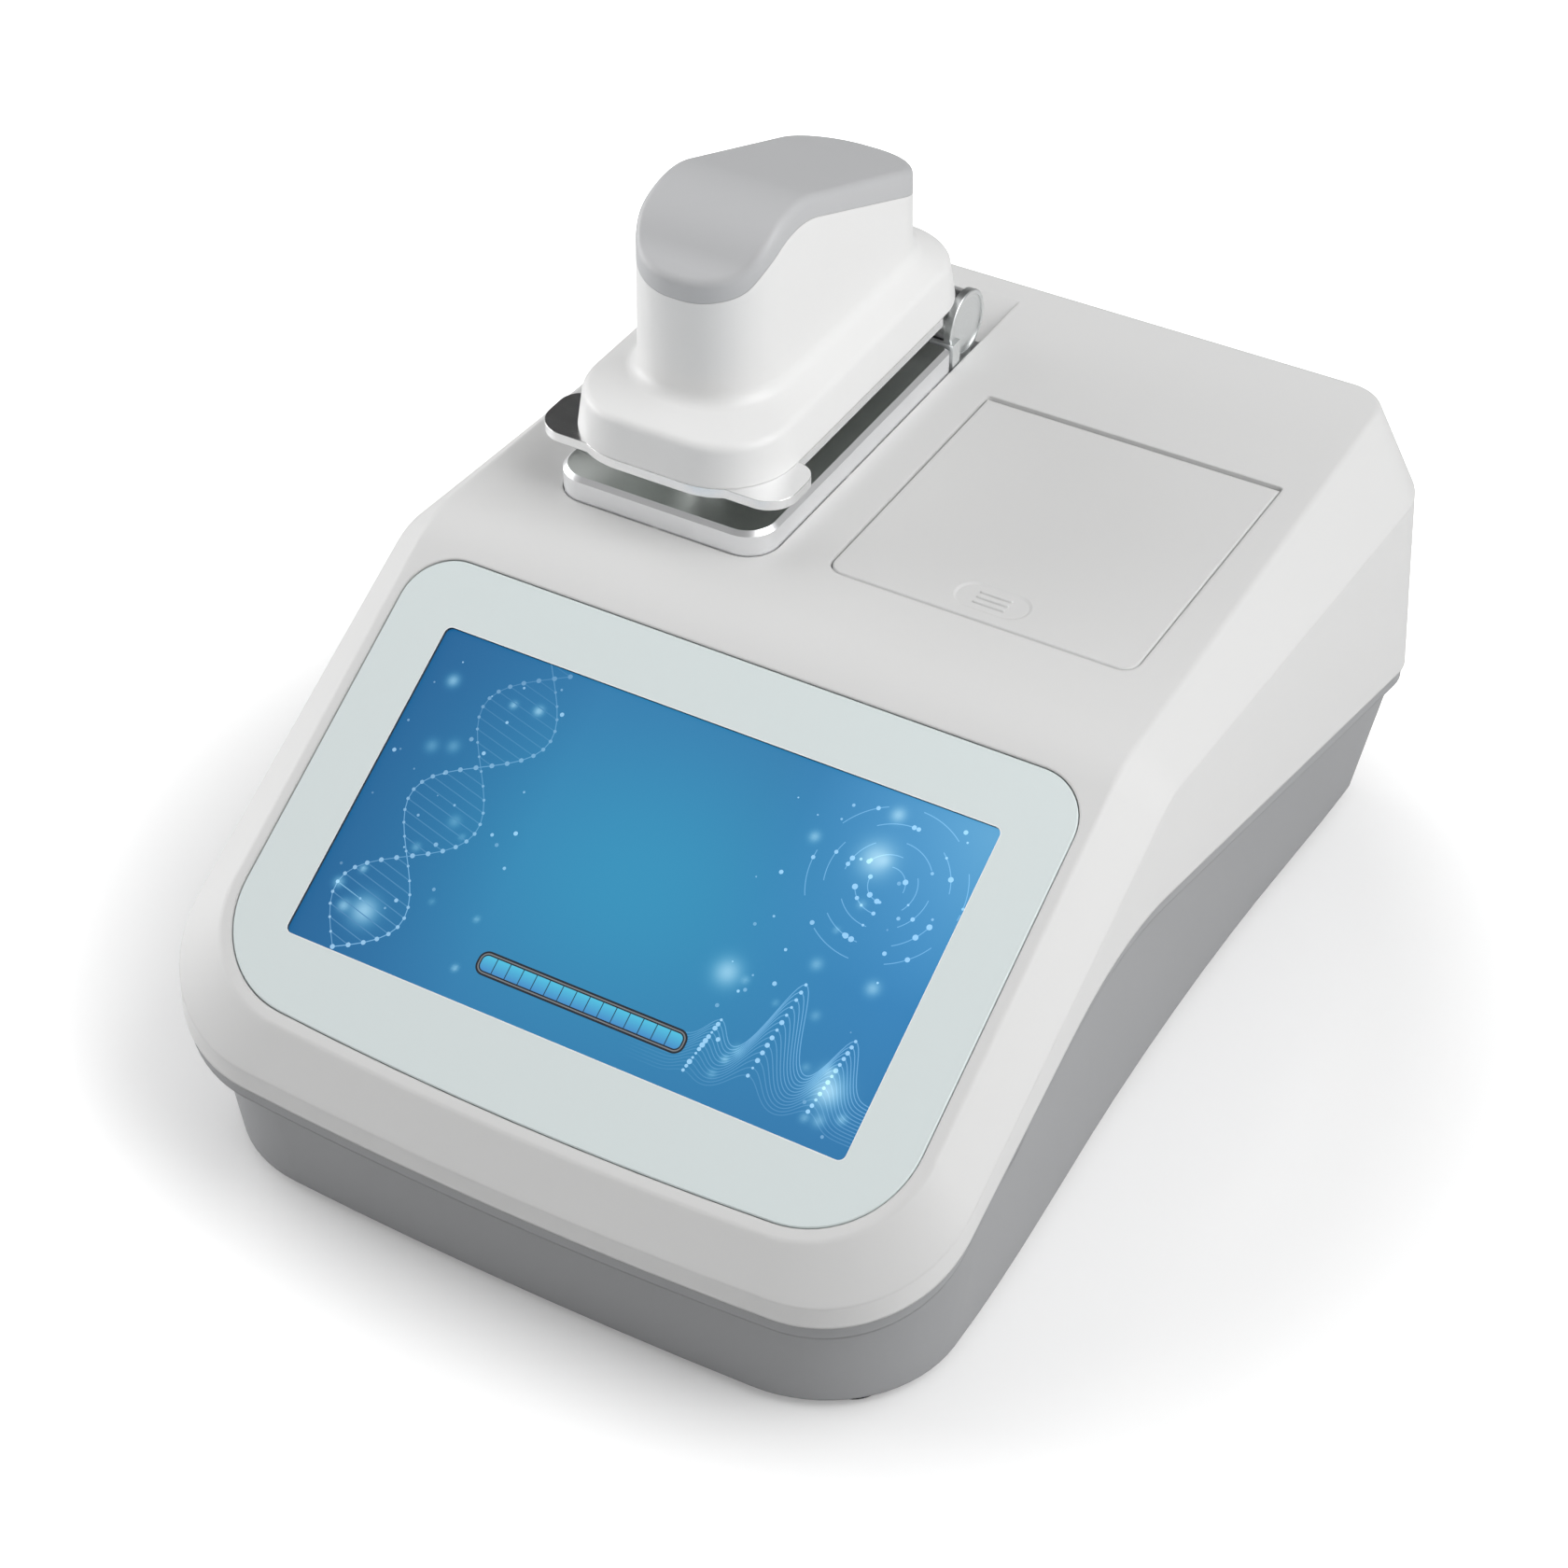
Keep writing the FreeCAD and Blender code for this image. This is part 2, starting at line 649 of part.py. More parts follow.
def base_form(inset, z0, z1):
    low = base_outline(FLOOR_Z, BASE_HALF, BASE_FRONT_Y, LOW_WAIST_IN, inset)
    high = base_outline(BASE_TOP_Z, BASE_TOP_HALF, BASE_TOP_FRONT_Y, HIGH_WAIST_IN, inset)
    return loft(low, high).common(box_at(0, 0, REACH, REACH, z0, z1))


floor_in = FLOOR_Z + SKIN
rear_in = BASE_REAR_Y - SKIN
port_z = IO_Z + BOARD_T
feet_at = both_sides(FOOT_AT)
join_at = both_sides(JOIN_AT)
board_at = both_sides(BOARD_AT)
io_at = both_sides(IO_AT, IO_X)
lip_outer = outer_form(LIP_INSET)
lip_inner = outer_form(SKIN + TONGUE_T)
tongue_outer = outer_form(SKIN + SLIDE_FIT)
base_void = base_form(SKIN, floor_in, BASE_TOP_Z).common(split_side(LIP_H - SKIN, False))
collar = lip_outer.common(split_side(LIP_H, True)).common(split_side(LIP_H - SKIN, False))
lip = lip_outer.cut(lip_inner).common(split_side(LIP_H - SKIN, True)).common(split_side(0, False))
tongue = tongue_outer.cut(lip_inner).common(split_side(OVER, True)).common(split_side(-TONGUE_H, False))
base = base_form(0, FLOOR_Z, BASE_TOP_Z).common(split_side(LIP_H, False))
base = fuse([base, collar, lip, tongue]).cut(base_void)
heel_points = [(BASE_REAR_Y - BASE_CHAMFER, FLOOR_Z - OVER), (BASE_REAR_Y + OVER, FLOOR_Z - OVER)]
heel_points += [(BASE_REAR_Y + OVER, FLOOR_Z + BASE_CHAMFER + OVER), (BASE_REAR_Y, FLOOR_Z + BASE_CHAMFER)]
base = base.cut(side_profile(heel_points, -REACH, REACH))
standoffs = [post(x, y, STANDOFF_R, floor_in - OVER, BOARD_Z) for x, y in board_at]
standoffs += [post(x, y, IO_STANDOFF_R, floor_in - OVER, IO_Z) for x, y in io_at]
base_inside = base_form(1, FLOOR_Z, JOIN_Z)
foot_pads = [post(x, y, FOOT_R + FOOT_WALL, FLOOR_Z + OVER, floor_in + FOOT_SINK).common(base_inside)
             for x, y in feet_at]
base = fuse([base] + standoffs + foot_pads + screw_columns(floor_in - OVER, JOIN_Z, JOIN_R))


def port_hole(x, w, h):
    half = w / 2 + GAP
    return box(x - half, x + half, rear_in - PORT_CUT, BASE_REAR_Y + OVER, port_z - GAP, port_z + h + GAP)


holes = [post(x, y, FOOT_R + HOLE_FIT, FLOOR_Z - OVER, FLOOR_Z + FOOT_SINK) for x, y in feet_at]
holes += [post(x, y, SCREW_R + HOLE_FIT, FLOOR_Z - OVER, JOIN_Z + OVER) for x, y in join_at]
holes += [post(x, y, SCREW_HEAD_R + HEAD_FIT, FLOOR_Z - OVER, FLOOR_Z + HEAD_SINK) for x, y in join_at]
holes += [post(x, y, BOARD_SCREW_R, floor_in, BOARD_Z + OVER) for x, y in board_at]
holes += [post(x, y, BOARD_SCREW_R, floor_in, IO_Z + OVER) for x, y in io_at]
holes += [port_hole(JACK_X, JACK_W, JACK_H), port_hole(USB_B_X, USB_B_W, USB_B_H)]
holes += [port_hole(x, USB_A_W, USB_A_H) for x in USB_A_X]
switch_hole_w = SWITCH_W / 2 + HOLE_FIT
switch_hole_h = SWITCH_H / 2 + HOLE_FIT
holes.append(box(SWITCH_X - switch_hole_w, SWITCH_X + switch_hole_w, rear_in - PORT_CUT, BASE_REAR_Y + OVER,
                 SWITCH_Z - switch_hole_h, SWITCH_Z + switch_hole_h))
base = base.cut(holes)

# Feet and screws


def screw(x, y, z, length):
    """Pan-head screw with a hex socket; z is the seat of its head and the shank points up."""
    head = Part.makeCylinder(SCREW_HEAD_R, SCREW_HEAD_H, V(x, y, z), V(0, 0, -1))
    turns = [math.radians(60 * k) for k in range(7)]
    ring = [V(x + SOCKET_R * math.cos(a), y + SOCKET_R * math.sin(a), z - SCREW_HEAD_H - OVER) for a in turns]
    socket = Part.Face(Part.makePolygon(ring)).extrude(V(0, 0, SOCKET_DEPTH + OVER))
    return head.fuse(post(x, y, SCREW_R, z, z + length)).cut(socket)


feet = []
for x, y in feet_at:
    pad = post(x, y, FOOT_R, 0, FLOOR_Z + FOOT_SINK)
    feet.append(pad.makeChamfer(FOOT_EDGE, [e for e in pad.Edges if abs(e.BoundBox.ZMax) < 0.01]))
seat_z = FLOOR_Z + HEAD_SINK
base_screws = [screw(x, y, seat_z, JOIN_Z - seat_z + SCREW_BITE) for x, y in join_at]

# Glass and display

glass = prism(bowed(GLASS_HALF, -GLASS_FRONT, CREST_BOW, GLASS_FRONT_R, -GLASS_TOP, GLASS_TOP_R), -GLASS_T, 0)
glass = put(glass.makeChamfer(GLASS_EDGE, edges_above(glass, 0)), SLOPE)
lcd_low = -GLASS_T - LCD_T
lcd_v = -LCD_MID
panel = box_at(0, lcd_v, LCD_W / 2 + LCD_FRAME, LCD_H / 2 + LCD_FRAME, lcd_low, -GLASS_T)
display = put(panel, SLOPE)
sheet_low = lcd_low - SHEET_T
sheet = rect(-BRACKET_HALF_X, BRACKET_HALF_X, lcd_v - BRACKET_HALF_Y, lcd_v + BRACKET_HALF_Y, (BRACKET_R,) * 4)
ear_x = BRACKET_HALF_X - EAR_IN
ear_y = BRACKET_HALF_Y - EAR_IN
ears_at = both_sides(((ear_x, lcd_v - ear_y), (ear_x, lcd_v + ear_y)))
bracket = fuse([prism(sheet, sheet_low, lcd_low)] + [post(x, v, EAR_R, sheet_low, bed_low) for x, v in ears_at])
slots = []
for k in (-1, 0, 1):
    mid = k * SLOT_PITCH
    slot = rect(mid - SLOT_HALF, mid + SLOT_HALF, lcd_v + SLOT_Y[0], lcd_v + SLOT_Y[1], (SLOT_R,) * 4)
    slots.append(prism(slot, sheet_low - OVER, lcd_low + OVER))
bracket = bracket.cut(slots + [post(x, v, EAR_HOLE_R, sheet_low - OVER, 0) for x, v in ears_at])
bracket = put(bracket, SLOPE)
driver_low = sheet_low - DRIVER_T
driver_wire = rect(*DRIVER_X, lcd_v + DRIVER_Y[0], lcd_v + DRIVER_Y[1], (DRIVER_R,) * 4)
driver_parts = [prism(driver_wire, driver_low, sheet_low)]
for x0, x1, y0, y1, h in (PLUG_BOX, CHIP_BOX):
    driver_parts.append(box(x0, x1, lcd_v + y0, lcd_v + y1, driver_low - h, driver_low))
driver = put(fuse(driver_parts), SLOPE)

# Optical bench under the top

bench_low = BENCH_TOP - BENCH_T
bench_cut = (bench_low - OVER, BENCH_TOP + OVER)
bench_half = BENCH_X + BENCH_EDGE
bench = prism(rect(-bench_half, bench_half, *BENCH_U, (BENCH_R,) * 4), bench_low, BENCH_TOP)
bench_cuts = [post(x, u, SCREW_R + HOLE_FIT, *bench_cut) for x, u in bench_at]
bench_cuts.append(post(ARM_X, PEDESTAL_U, BENCH_BORE_R, *bench_cut))
around = HOLDER_HALF + OVER
around_holder = rect(LID_X - around, LID_X + around, WELL_U - around, WELL_U + around, (BENCH_WELL_R,) * 4)
bench_cuts.append(prism(around_holder, *bench_cut))
slot_x, slot_u = BENCH_SLOT_HALF
for u in BENCH_SLOT_U:
    slot = rect(LID_X - slot_x, LID_X + slot_x, u - slot_u, u + slot_u, (BENCH_SLOT_R,) * 4)
    bench_cuts.append(prism(slot, *bench_cut))
bench = put(bench.cut(bench_cuts), TOP)
bench_screws = [put(screw(x, u, bench_low, BENCH_SCREW_L), TOP) for x, u in bench_at]

# Pedestal block and the lower half of the light path

block_r = (BLOCK_R, BLOCK_R, BLOCK_REAR_R, BLOCK_REAR_R)
block_wire = rect(ARM_X - BLOCK_HALF, ARM_X + BLOCK_HALF, BLOCK_FRONT, BLOCK_REAR, block_r)
block = prism(block_wire, BENCH_TOP, BLOCK_TOP)
block = block.makeChamfer(BLOCK_CHAMFER, edges_above(block, BLOCK_TOP))
block_well = rect(ARM_X - WELL_HALF_X, ARM_X + WELL_HALF_X, *BLOCK_WELL_U, (BLOCK_WELL_R,) * 4)
block = block.cut([prism(block_well, BENCH_TOP - OVER, BLOCK_WELL_TOP),
                   post(ARM_X, PEDESTAL_U, PEDESTAL_R, BENCH_TOP - OVER, BLOCK_TOP + OVER)])
block = put(block, TOP)
low_cone = Part.makeCone(PEDESTAL_R + PEDESTAL_FLANGE, PEDESTAL_R - PEDESTAL_TIP_IN, MEASURE_N - BLOCK_TOP,
                         V(ARM_X, PEDESTAL_U, BLOCK_TOP))
low_tip = post(ARM_X, PEDESTAL_U, PEDESTAL_R, BENCH_TOP, BLOCK_TOP).fuse(low_cone)
fibre_bore = post(ARM_X, PEDESTAL_U, FIBRE_R, BENCH_TOP - OVER, MEASURE_N + OVER)
low_pedestal = put(low_tip.cut(fibre_bore), TOP)
low_fibre = put(post(ARM_X, PEDESTAL_U, FIBRE_R, bench_low, MEASURE_N), TOP)

# Hinge saddle, cheek discs and pin

knuckle_half = SKIRT_HALF - CHEEK_T - GAP
pin_half = SKIRT_HALF - PIN_SHORT
web_u = HINGE_U - SADDLE_WEB
saddle = box(ARM_X - SKIRT_HALF, ARM_X + SKIRT_HALF, HINGE_U - SADDLE_HALF, HINGE_U + SADDLE_HALF,
             BENCH_TOP, SADDLE_TOP)
bar = box(ARM_X - BLOCK_HALF, ARM_X + BLOCK_HALF, BLOCK_REAR + BAR_GAP, web_u, BENCH_TOP, BLOCK_TOP)
saddle_well = box_at(ARM_X, HINGE_U, SADDLE_WELL_X, SADDLE_WEB, BENCH_TOP - OVER, SADDLE_WELL_TOP)
saddle = saddle.fuse(bar).cut(saddle_well)
saddle = saddle.cut(rod_at(ARM_X, knuckle_half + GAP, HINGE_U, HINGE_N, KNUCKLE_R + KNUCKLE_FIT))
cheeks = []
for side in (-1, 1):
    face_x = ARM_X + side * SKIRT_HALF
    x0 = min(face_x, face_x - side * CHEEK_T)
    disc = rod(x0, x0 + CHEEK_T, HINGE_U, HINGE_N, HINGE_R)
    face_edge = [e for e in disc.Edges if e.Closed and abs(e.CenterOfMass.x - face_x) < 0.01]
    dish = rod(*sorted((face_x, face_x - side * DISH_DEPTH)), HINGE_U, HINGE_N, HINGE_R - DISH_RIM)
    cheeks.append(disc.makeFillet(CHEEK_EDGE, face_edge).cut(dish))
    stem_x = sorted((face_x - side * STEM_IN, face_x - side * CHEEK_T))
    cheeks.append(box(*stem_x, HINGE_U - STEM_HALF, HINGE_U + STEM_HALF, STEM_LOW, HINGE_N - STEM_HALF))
hinge_rod = rod_at(ARM_X, pin_half, HINGE_U, HINGE_N, PIN_R)
hinge_bracket = put(fuse([saddle] + cheeks).cut(hinge_rod), TOP)
hinge_pin = put(hinge_rod, TOP)

# Cuvette holder, spectrometer box and lamp housing

holder = box_at(LID_X, WELL_U, HOLDER_HALF, HOLDER_HALF, HOLDER_LOW, -LID_T - LID_GAP - SKIN)
holder = fuse([holder, box_at(LID_X, WELL_U, FLANGE_HALF, FLANGE_HALF, BENCH_TOP, BENCH_TOP + FLANGE_T)])
holder = holder.cut([box_at(LID_X, WELL_U, WELL / 2, WELL / 2, CUVETTE_LOW, 0),
                     rod_at(LID_X, FLANGE_HALF + OVER, WELL_U, BEAM_N, BEAM_R)])
holder = put(holder, TOP)
spectro = box(*SPECTRO_X, *SPECTRO_U, bench_low - SPECTRO_H, bench_low)
upright = [e for e in spectro.Edges if abs(e.BoundBox.ZLength - SPECTRO_H) < 0.01 and e.Length < SPECTRO_H + 1]
spectro = spectro.makeFillet(SPECTRO_R, upright)
inlet = rod(SPECTRO_X[1] - INLET_SINK, SPECTRO_X[1] + INLET_L, INLET_U, bench_low - SPECTRO_H / 2, INLET_R)
spectro = put(fuse([spectro, inlet]), TOP)
lamp_top = bench_low - LAMP_DROP
lamp_low = lamp_top - LAMP_H
lamp_parts = [box(*LAMP_X, *LAMP_U, lamp_low, lamp_top)]
lamp_parts.append(box(*LAMP_X, *NECK_U, lamp_top - OVER, bench_low))
for k in range(FINS):
    u = LAMP_U[0] + FIN_START + FIN_PITCH * k
    lamp_parts.append(box(*LAMP_X, u, u + FIN_T, lamp_low - FIN_H, lamp_low))
lamp = put(fuse(lamp_parts), TOP)

# Cuvette flap

lid = prism(rect(*lid_x, LID_FRONT, LID_REAR, (LID_R, LID_R, LID_REAR_R, LID_REAR_R)), -LID_T, 0)
lid = lid.makeChamfer(LID_EDGE, edges_above(lid, 0))


def grip_outline(inset, n):
    half_x, half_u = GRIP_HALF
    radii = (GRIP_R - inset,) * 4
    x0, x1 = LID_X - half_x + inset, LID_X + half_x - inset
    return rect(x0, x1, GRIP_MID - half_u + inset, GRIP_MID + half_u - inset, radii, n)


grip = loft(grip_outline(GRIP_IN, -GRIP_DEPTH), grip_outline(0, 0))
bars = []
for k in (-1, 0, 1):
    u = GRIP_MID + GRIP_PITCH * k
    bars.append(rod_at(LID_X, GRIP_BAR_HALF, u, -GRIP_DEPTH, GRIP_BAR_R))
    bars += [Part.makeSphere(GRIP_BAR_R, V(LID_X + side * GRIP_BAR_HALF, u, -GRIP_DEPTH)) for side in (-1, 1)]
heel_box = box(LID_X - LID_W, LID_X + LID_W, lid_axis[0], LID_REAR + OVER, -LID_T - OVER, OVER)
heel_round = heel_box.cut(rod_at(LID_X, LID_W + OVER, *lid_axis, LID_T / 2))
lid_bore = rod_at(LID_X, LID_W, *lid_axis, LID_PIN_R + PIN_FIT)
lid = put(fuse([lid.cut([grip, heel_round, lid_bore])] + bars), TOP)
lid_pin = put(rod_at(LID_X, lid_half + PIN_END, *lid_axis, LID_PIN_R), TOP)

# Arm plate and the upper half of the light path

plate_low = PLATE_TOP - PLATE_T
plate_r = (SKIRT_R, SKIRT_R, PLATE_REAR_R, PLATE_REAR_R)
plate_wire = rect(ARM_X - SKIRT_HALF, ARM_X + SKIRT_HALF, SKIRT_FRONT, PLATE_REAR, plate_r)
thumb_r = (THUMB_R[0], THUMB_R[0], THUMB_R[1], THUMB_R[1])
thumb_wire = rect(ARM_X - THUMB_HALF, ARM_X + THUMB_HALF, *THUMB_U, thumb_r)
knuckle_x = (ARM_X - knuckle_half, ARM_X + knuckle_half)
tail = box(*knuckle_x, PLATE_REAR - OVER, HINGE_U, plate_low, HINGE_N + KNUCKLE_R)
plate = fuse([prism(plate_wire, plate_low, PLATE_TOP), prism(thumb_wire, plate_low, PLATE_TOP), tail,
              rod_at(ARM_X, knuckle_half, HINGE_U, HINGE_N, KNUCKLE_R)])
plate = plate.cut([rod_at(ARM_X, BLOCK_HALF + OVER, HINGE_U, HINGE_N, PIN_R + PIN_FIT),
                   post(ARM_X, PEDESTAL_U, PEDESTAL_R, plate_low - OVER, PLATE_TOP + OVER)])
plate = put(plate, TOP)
tip_n = MEASURE_N + GAP
tip_top = PLATE_TOP + TIP_RISE
up_cone = Part.makeCone(TIP_R, PEDESTAL_R, plate_low - tip_n, V(ARM_X, PEDESTAL_U, tip_n))
up_tip = up_cone.fuse(post(ARM_X, PEDESTAL_U, PEDESTAL_R, plate_low, tip_top))
up_pedestal = put(up_tip.cut(post(ARM_X, PEDESTAL_U, FIBRE_R, MEASURE_N, tip_top + OVER)), TOP)
up_fibre = put(post(ARM_X, PEDESTAL_U, FIBRE_R, tip_n, PLATE_TOP + FIBRE_RISE), TOP)
carrier = box_at(ARM_X, PEDESTAL_U, *CARRIER_HALF, PLATE_TOP, PLATE_TOP + CARRIER_H)
carrier = carrier.cut(post(ARM_X, PEDESTAL_U, PEDESTAL_R, PLATE_TOP - OVER, PLATE_TOP + CARRIER_H + OVER))
carrier = put(carrier, TOP)

# Arm cover and cap

tower_low = PLATE_TOP + SKIRT_H


def skirt_outline(inset, n):
    radii = (SKIRT_R - inset,) * 4
    half = SKIRT_HALF - inset
    return rect(ARM_X - half, ARM_X + half, SKIRT_FRONT + inset, SKIRT_REAR - inset, radii, n)


def tower_outline(half, n):
    """Nearly full-round ends, with a short flat so that it has the same edges as the skirt."""
    radii = (half - TOWER_FLAT,) * 4
    return rect(ARM_X - half, ARM_X + half, TOWER_FRONT - half, TOWER_REAR + half, radii, n)


def level_edges(shape, n):
    return [e for e in shape.Edges if abs(e.BoundBox.ZMin - n) < 0.01 and e.BoundBox.ZLength < 0.01]


def arm_form(t, soft):
    """Solid of the arm cover and its tower, every wall moved in by t; soft rounds its shoulder."""
    sections = [skirt_outline(t, PLATE_TOP), skirt_outline(SKIRT_DRAFT + t, tower_low - t)]
    sections.append(tower_outline(TOWER_HALF + TOWER_FOOT_GROW - t, tower_low + SHOULDER_RISE - t))
    sections.append(tower_outline(TOWER_HALF - t, FORM_TOP))
    form = loft(*sections)
    if soft:
        form = form.makeFillet(SHOULDER_R, level_edges(form, tower_low))
        form = form.makeFillet(TOWER_FOOT_R, level_edges(form, tower_low + SHOULDER_RISE))
    return form


def wave(front_rise, rear_rise):
    """Everything under an S-shaped surface across the arm: the seam curve raised by a rise."""
    rises = (front_rise, front_rise, front_rise, rear_rise)
    upper = [V(0, u, n + rise) for (u, n), rise in zip(SEAM, rises)]
    wire = rounded([V(0, SEAM[0][0], 0), *upper, V(0, SEAM[-1][0], 0)], (0, 0, *SEAM_R, 0, 0))
    half = BLOCK_HALF + CUT_UP
    block = Part.Face(wire).extrude(V(2 * half, 0, 0))
    block.translate(V(ARM_X - half, 0, 0))
    return block


form = arm_form(0, True)
void = arm_form(WALL, False)
seam_under = wave(0, 0)
cap_under = wave(CAP_FRONT_RISE, CAP_REAR_RISE)
housing = form.common(seam_under).cut(void)
top_form = form.common(cap_under)
high_edges = edges_above(top_form, CAP_LOW_N)
rims = [e for e in high_edges if e.BoundBox.YLength > 0.01 or e.Length < CAP_RIM_MIN]
cap = top_form.makeFillet(CAP_EDGE_R, rims).cut(seam_under)
cap_void = void.common(wave(CAP_FRONT_RISE - WALL, CAP_REAR_RISE - WALL))
ring_core = arm_form(WALL + CAP_TONGUE_T, False)
cap_tongue = arm_form(WALL + SLIDE_FIT, False).cut(ring_core).common(cap_under)
cap_tongue = cap_tongue.cut(wave(-CAP_TONGUE_H, -CAP_TONGUE_H)).common(wave(CAP_TONGUE_UP, CAP_TONGUE_UP))
cap_ring = arm_form(WALL - CAP_RING_OUT, False).cut(ring_core)
cap_ring = cap_ring.common(wave(CAP_RING_UP, CAP_RING_UP)).cut(seam_under)
cap = put(fuse([cap.cut(cap_void), cap_tongue, cap_ring]), TOP)
housing = put(housing, TOP)

# Boards inside the base

board_top = BOARD_Z + BOARD_T
board = prism(rect(-BOARD_HALF, BOARD_HALF, *BOARD_Y, (BOARD_R,) * 4), BOARD_Z, board_top)
board = board.cut([post(x, y, BOARD_HOLE_R, BOARD_Z - OVER, board_top + OVER) for x, y in board_at])


def chip(x0, x1, y0, y1, h, shift=0.0):
    return box(x0 + shift, x1 + shift, y0, y1, board_top, board_top + h)


def board_screw(x, y, top):
    """Board screw with its head on the board's top."""
    head = post(x, y, BOARD_HEAD_R, top, top + BOARD_HEAD_H)
    return head.fuse(post(x, y, BOARD_SCREW_R, top - BOARD_T - BOARD_BITE, top))


chips = [chip(*PROCESSOR), chip(*HEADER)]
chips += [chip(*MEMORY, MEMORY_PITCH * k) for k in range(MEMORIES)]
chips += [post(CAN_X + CAN_PITCH * k, CAN_Y, CAN_R, board_top, board_top + CAN_H) for k in range(CANS)]
board = fuse([board] + chips)
board_screws = [board_screw(x, y, board_top) for x, y in board_at]
io_board = prism(rect(IO_X - IO_HALF, IO_X + IO_HALF, *IO_Y, (IO_R,) * 4), IO_Z, port_z)
io_board = io_board.cut([post(x, y, BOARD_HOLE_R, IO_Z - OVER, port_z + OVER) for x, y in io_at])
io_screws = [board_screw(x, y, port_z) for x, y in io_at]

# Sockets on the back

port_rear = BASE_REAR_Y - PORT_SET
jack_z = port_z + JACK_UP
jack = box(JACK_X - JACK_W / 2, JACK_X + JACK_W / 2, port_rear - JACK_L, port_rear, port_z, port_z + JACK_H)
jack = jack.cut(Part.makeCylinder(JACK_R, JACK_DEPTH, V(JACK_X, BASE_REAR_Y, jack_z), V(0, -1, 0)))
jack_pin = Part.makeCylinder(JACK_PIN_R, JACK_PIN_L, V(JACK_X, BASE_REAR_Y - JACK_DEPTH, jack_z), V(0, 1, 0))
jack = jack.fuse(jack_pin)


def shelled_port(x, w, h, tongue_h):
    """Metal socket shell, open to the rear, with the contact tongue in its middle."""
    half = w / 2
    mid = port_z + h / 2
    tongue_half = half - PORT_TONGUE_IN
    tongue_rear = BASE_REAR_Y - PORT_TONGUE_SET
    body = box(x - half, x + half, port_rear - PORT_L, port_rear, port_z, port_z + h)
    hollow = box(x - half + PORT_WALL, x + half - PORT_WALL, BASE_REAR_Y - PORT_DEPTH, BASE_REAR_Y,
                 port_z + PORT_WALL, port_z + h - PORT_WALL)
    tongue = box(x - tongue_half, x + tongue_half, tongue_rear - PORT_TONGUE_L, tongue_rear,
                 mid - tongue_h / 2, mid + tongue_h / 2)
    return body.cut(hollow).fuse(tongue)


usb_a = [shelled_port(x, USB_A_W, USB_A_H, USB_A_TONGUE) for x in USB_A_X]
usb_b = shelled_port(USB_B_X, USB_B_W, USB_B_H, USB_B_TONGUE)

# Power switch


def switch_box(half_x, half_z, y0, y1):
    return box(SWITCH_X - half_x, SWITCH_X + half_x, y0, y1, SWITCH_Z - half_z, SWITCH_Z + half_z)


rock_y = BASE_REAR_Y - ROCKER_AXIS
bezel = switch_box(*BEZEL_HALF, BASE_REAR_Y, BASE_REAR_Y + BEZEL_T)
bezel_edges = [e for e in bezel.Edges if e.BoundBox.ZLength < 0.01 and e.BoundBox.XLength < 0.01]
bezel = bezel.makeFillet(BEZEL_R, bezel_edges)
bezel = bezel.fuse(switch_box(SWITCH_W / 2, SWITCH_H / 2, BASE_REAR_Y - SWITCH_DEPTH, BASE_REAR_Y + HOLE_FIT))
bezel = bezel.cut(switch_box(*ROCKER_HOLE, BASE_REAR_Y - ROCKER_HOLE_DEPTH, BASE_REAR_Y + BEZEL_T + OVER))
rocker_points = [(BASE_REAR_Y + out, SWITCH_Z + up) for out, up in ROCKER_PROFILE]
rocker_points = [(rock_y - ROCKER_TAIL, SWITCH_Z - ROCKER_TAIL_HALF)] + rocker_points
rocker_points.append((rock_y - ROCKER_TAIL, SWITCH_Z + ROCKER_TAIL_HALF))
rocker = side_profile(rocker_points, SWITCH_X - ROCKER_HALF, SWITCH_X + ROCKER_HALF)
rocker = rocker.makeFillet(ROCKER_R, [e for e in rocker.Edges if e.BoundBox.XLength > ROCKER_HALF])
switch_pin = rod_at(SWITCH_X, SWITCH_PIN_HALF, rock_y, SWITCH_Z, SWITCH_PIN_R)
rocker = rocker.cut(rod_at(SWITCH_X, SWITCH_PIN_HALF, rock_y, SWITCH_Z, SWITCH_PIN_R + PIN_FIT))
bezel = bezel.cut(switch_pin)

nodes = {
    "upper_shell": shell, "base_shell": base, "rubber_feet": feet, "base_screws": base_screws,
    "touch_glass": glass, "display_module": display, "display_bracket": bracket, "display_driver": driver,
    "optical_bench": bench, "bench_screws": bench_screws, "pedestal_block": block,
    "lower_pedestal": low_pedestal, "lower_fibre": low_fibre, "hinge_bracket": hinge_bracket,
    "hinge_pin": hinge_pin, "cuvette_holder": holder, "spectrometer_module": spectro, "lamp_module": lamp,
    "cuvette_lid": lid, "lid_pin": lid_pin, "arm_plate": plate, "upper_pedestal": up_pedestal,
    "upper_fibre": up_fibre, "pedestal_carrier": carrier, "arm_housing": housing, "arm_cap": cap,
    "main_board": board, "board_screws": board_screws, "io_board": io_board, "io_screws": io_screws,
    "power_jack": jack, "usb_host_ports": usb_a, "usb_device_port": usb_b, "switch_bezel": bezel,
    "switch_rocker": rocker, "switch_pin": switch_pin,
}
os.makedirs("parts", exist_ok=True)
for name, shape in nodes.items():
    solids = shape if isinstance(shape, list) else [shape]
    whole = Part.makeCompound([solid for item in solids for solid in item.Solids])
    whole.exportStep("parts/" + name + ".step")
    print(name, len(whole.Solids), whole.isValid(), round(whole.Volume))
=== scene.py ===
import bpy, math
import numpy as np
from mathutils import Matrix, Vector


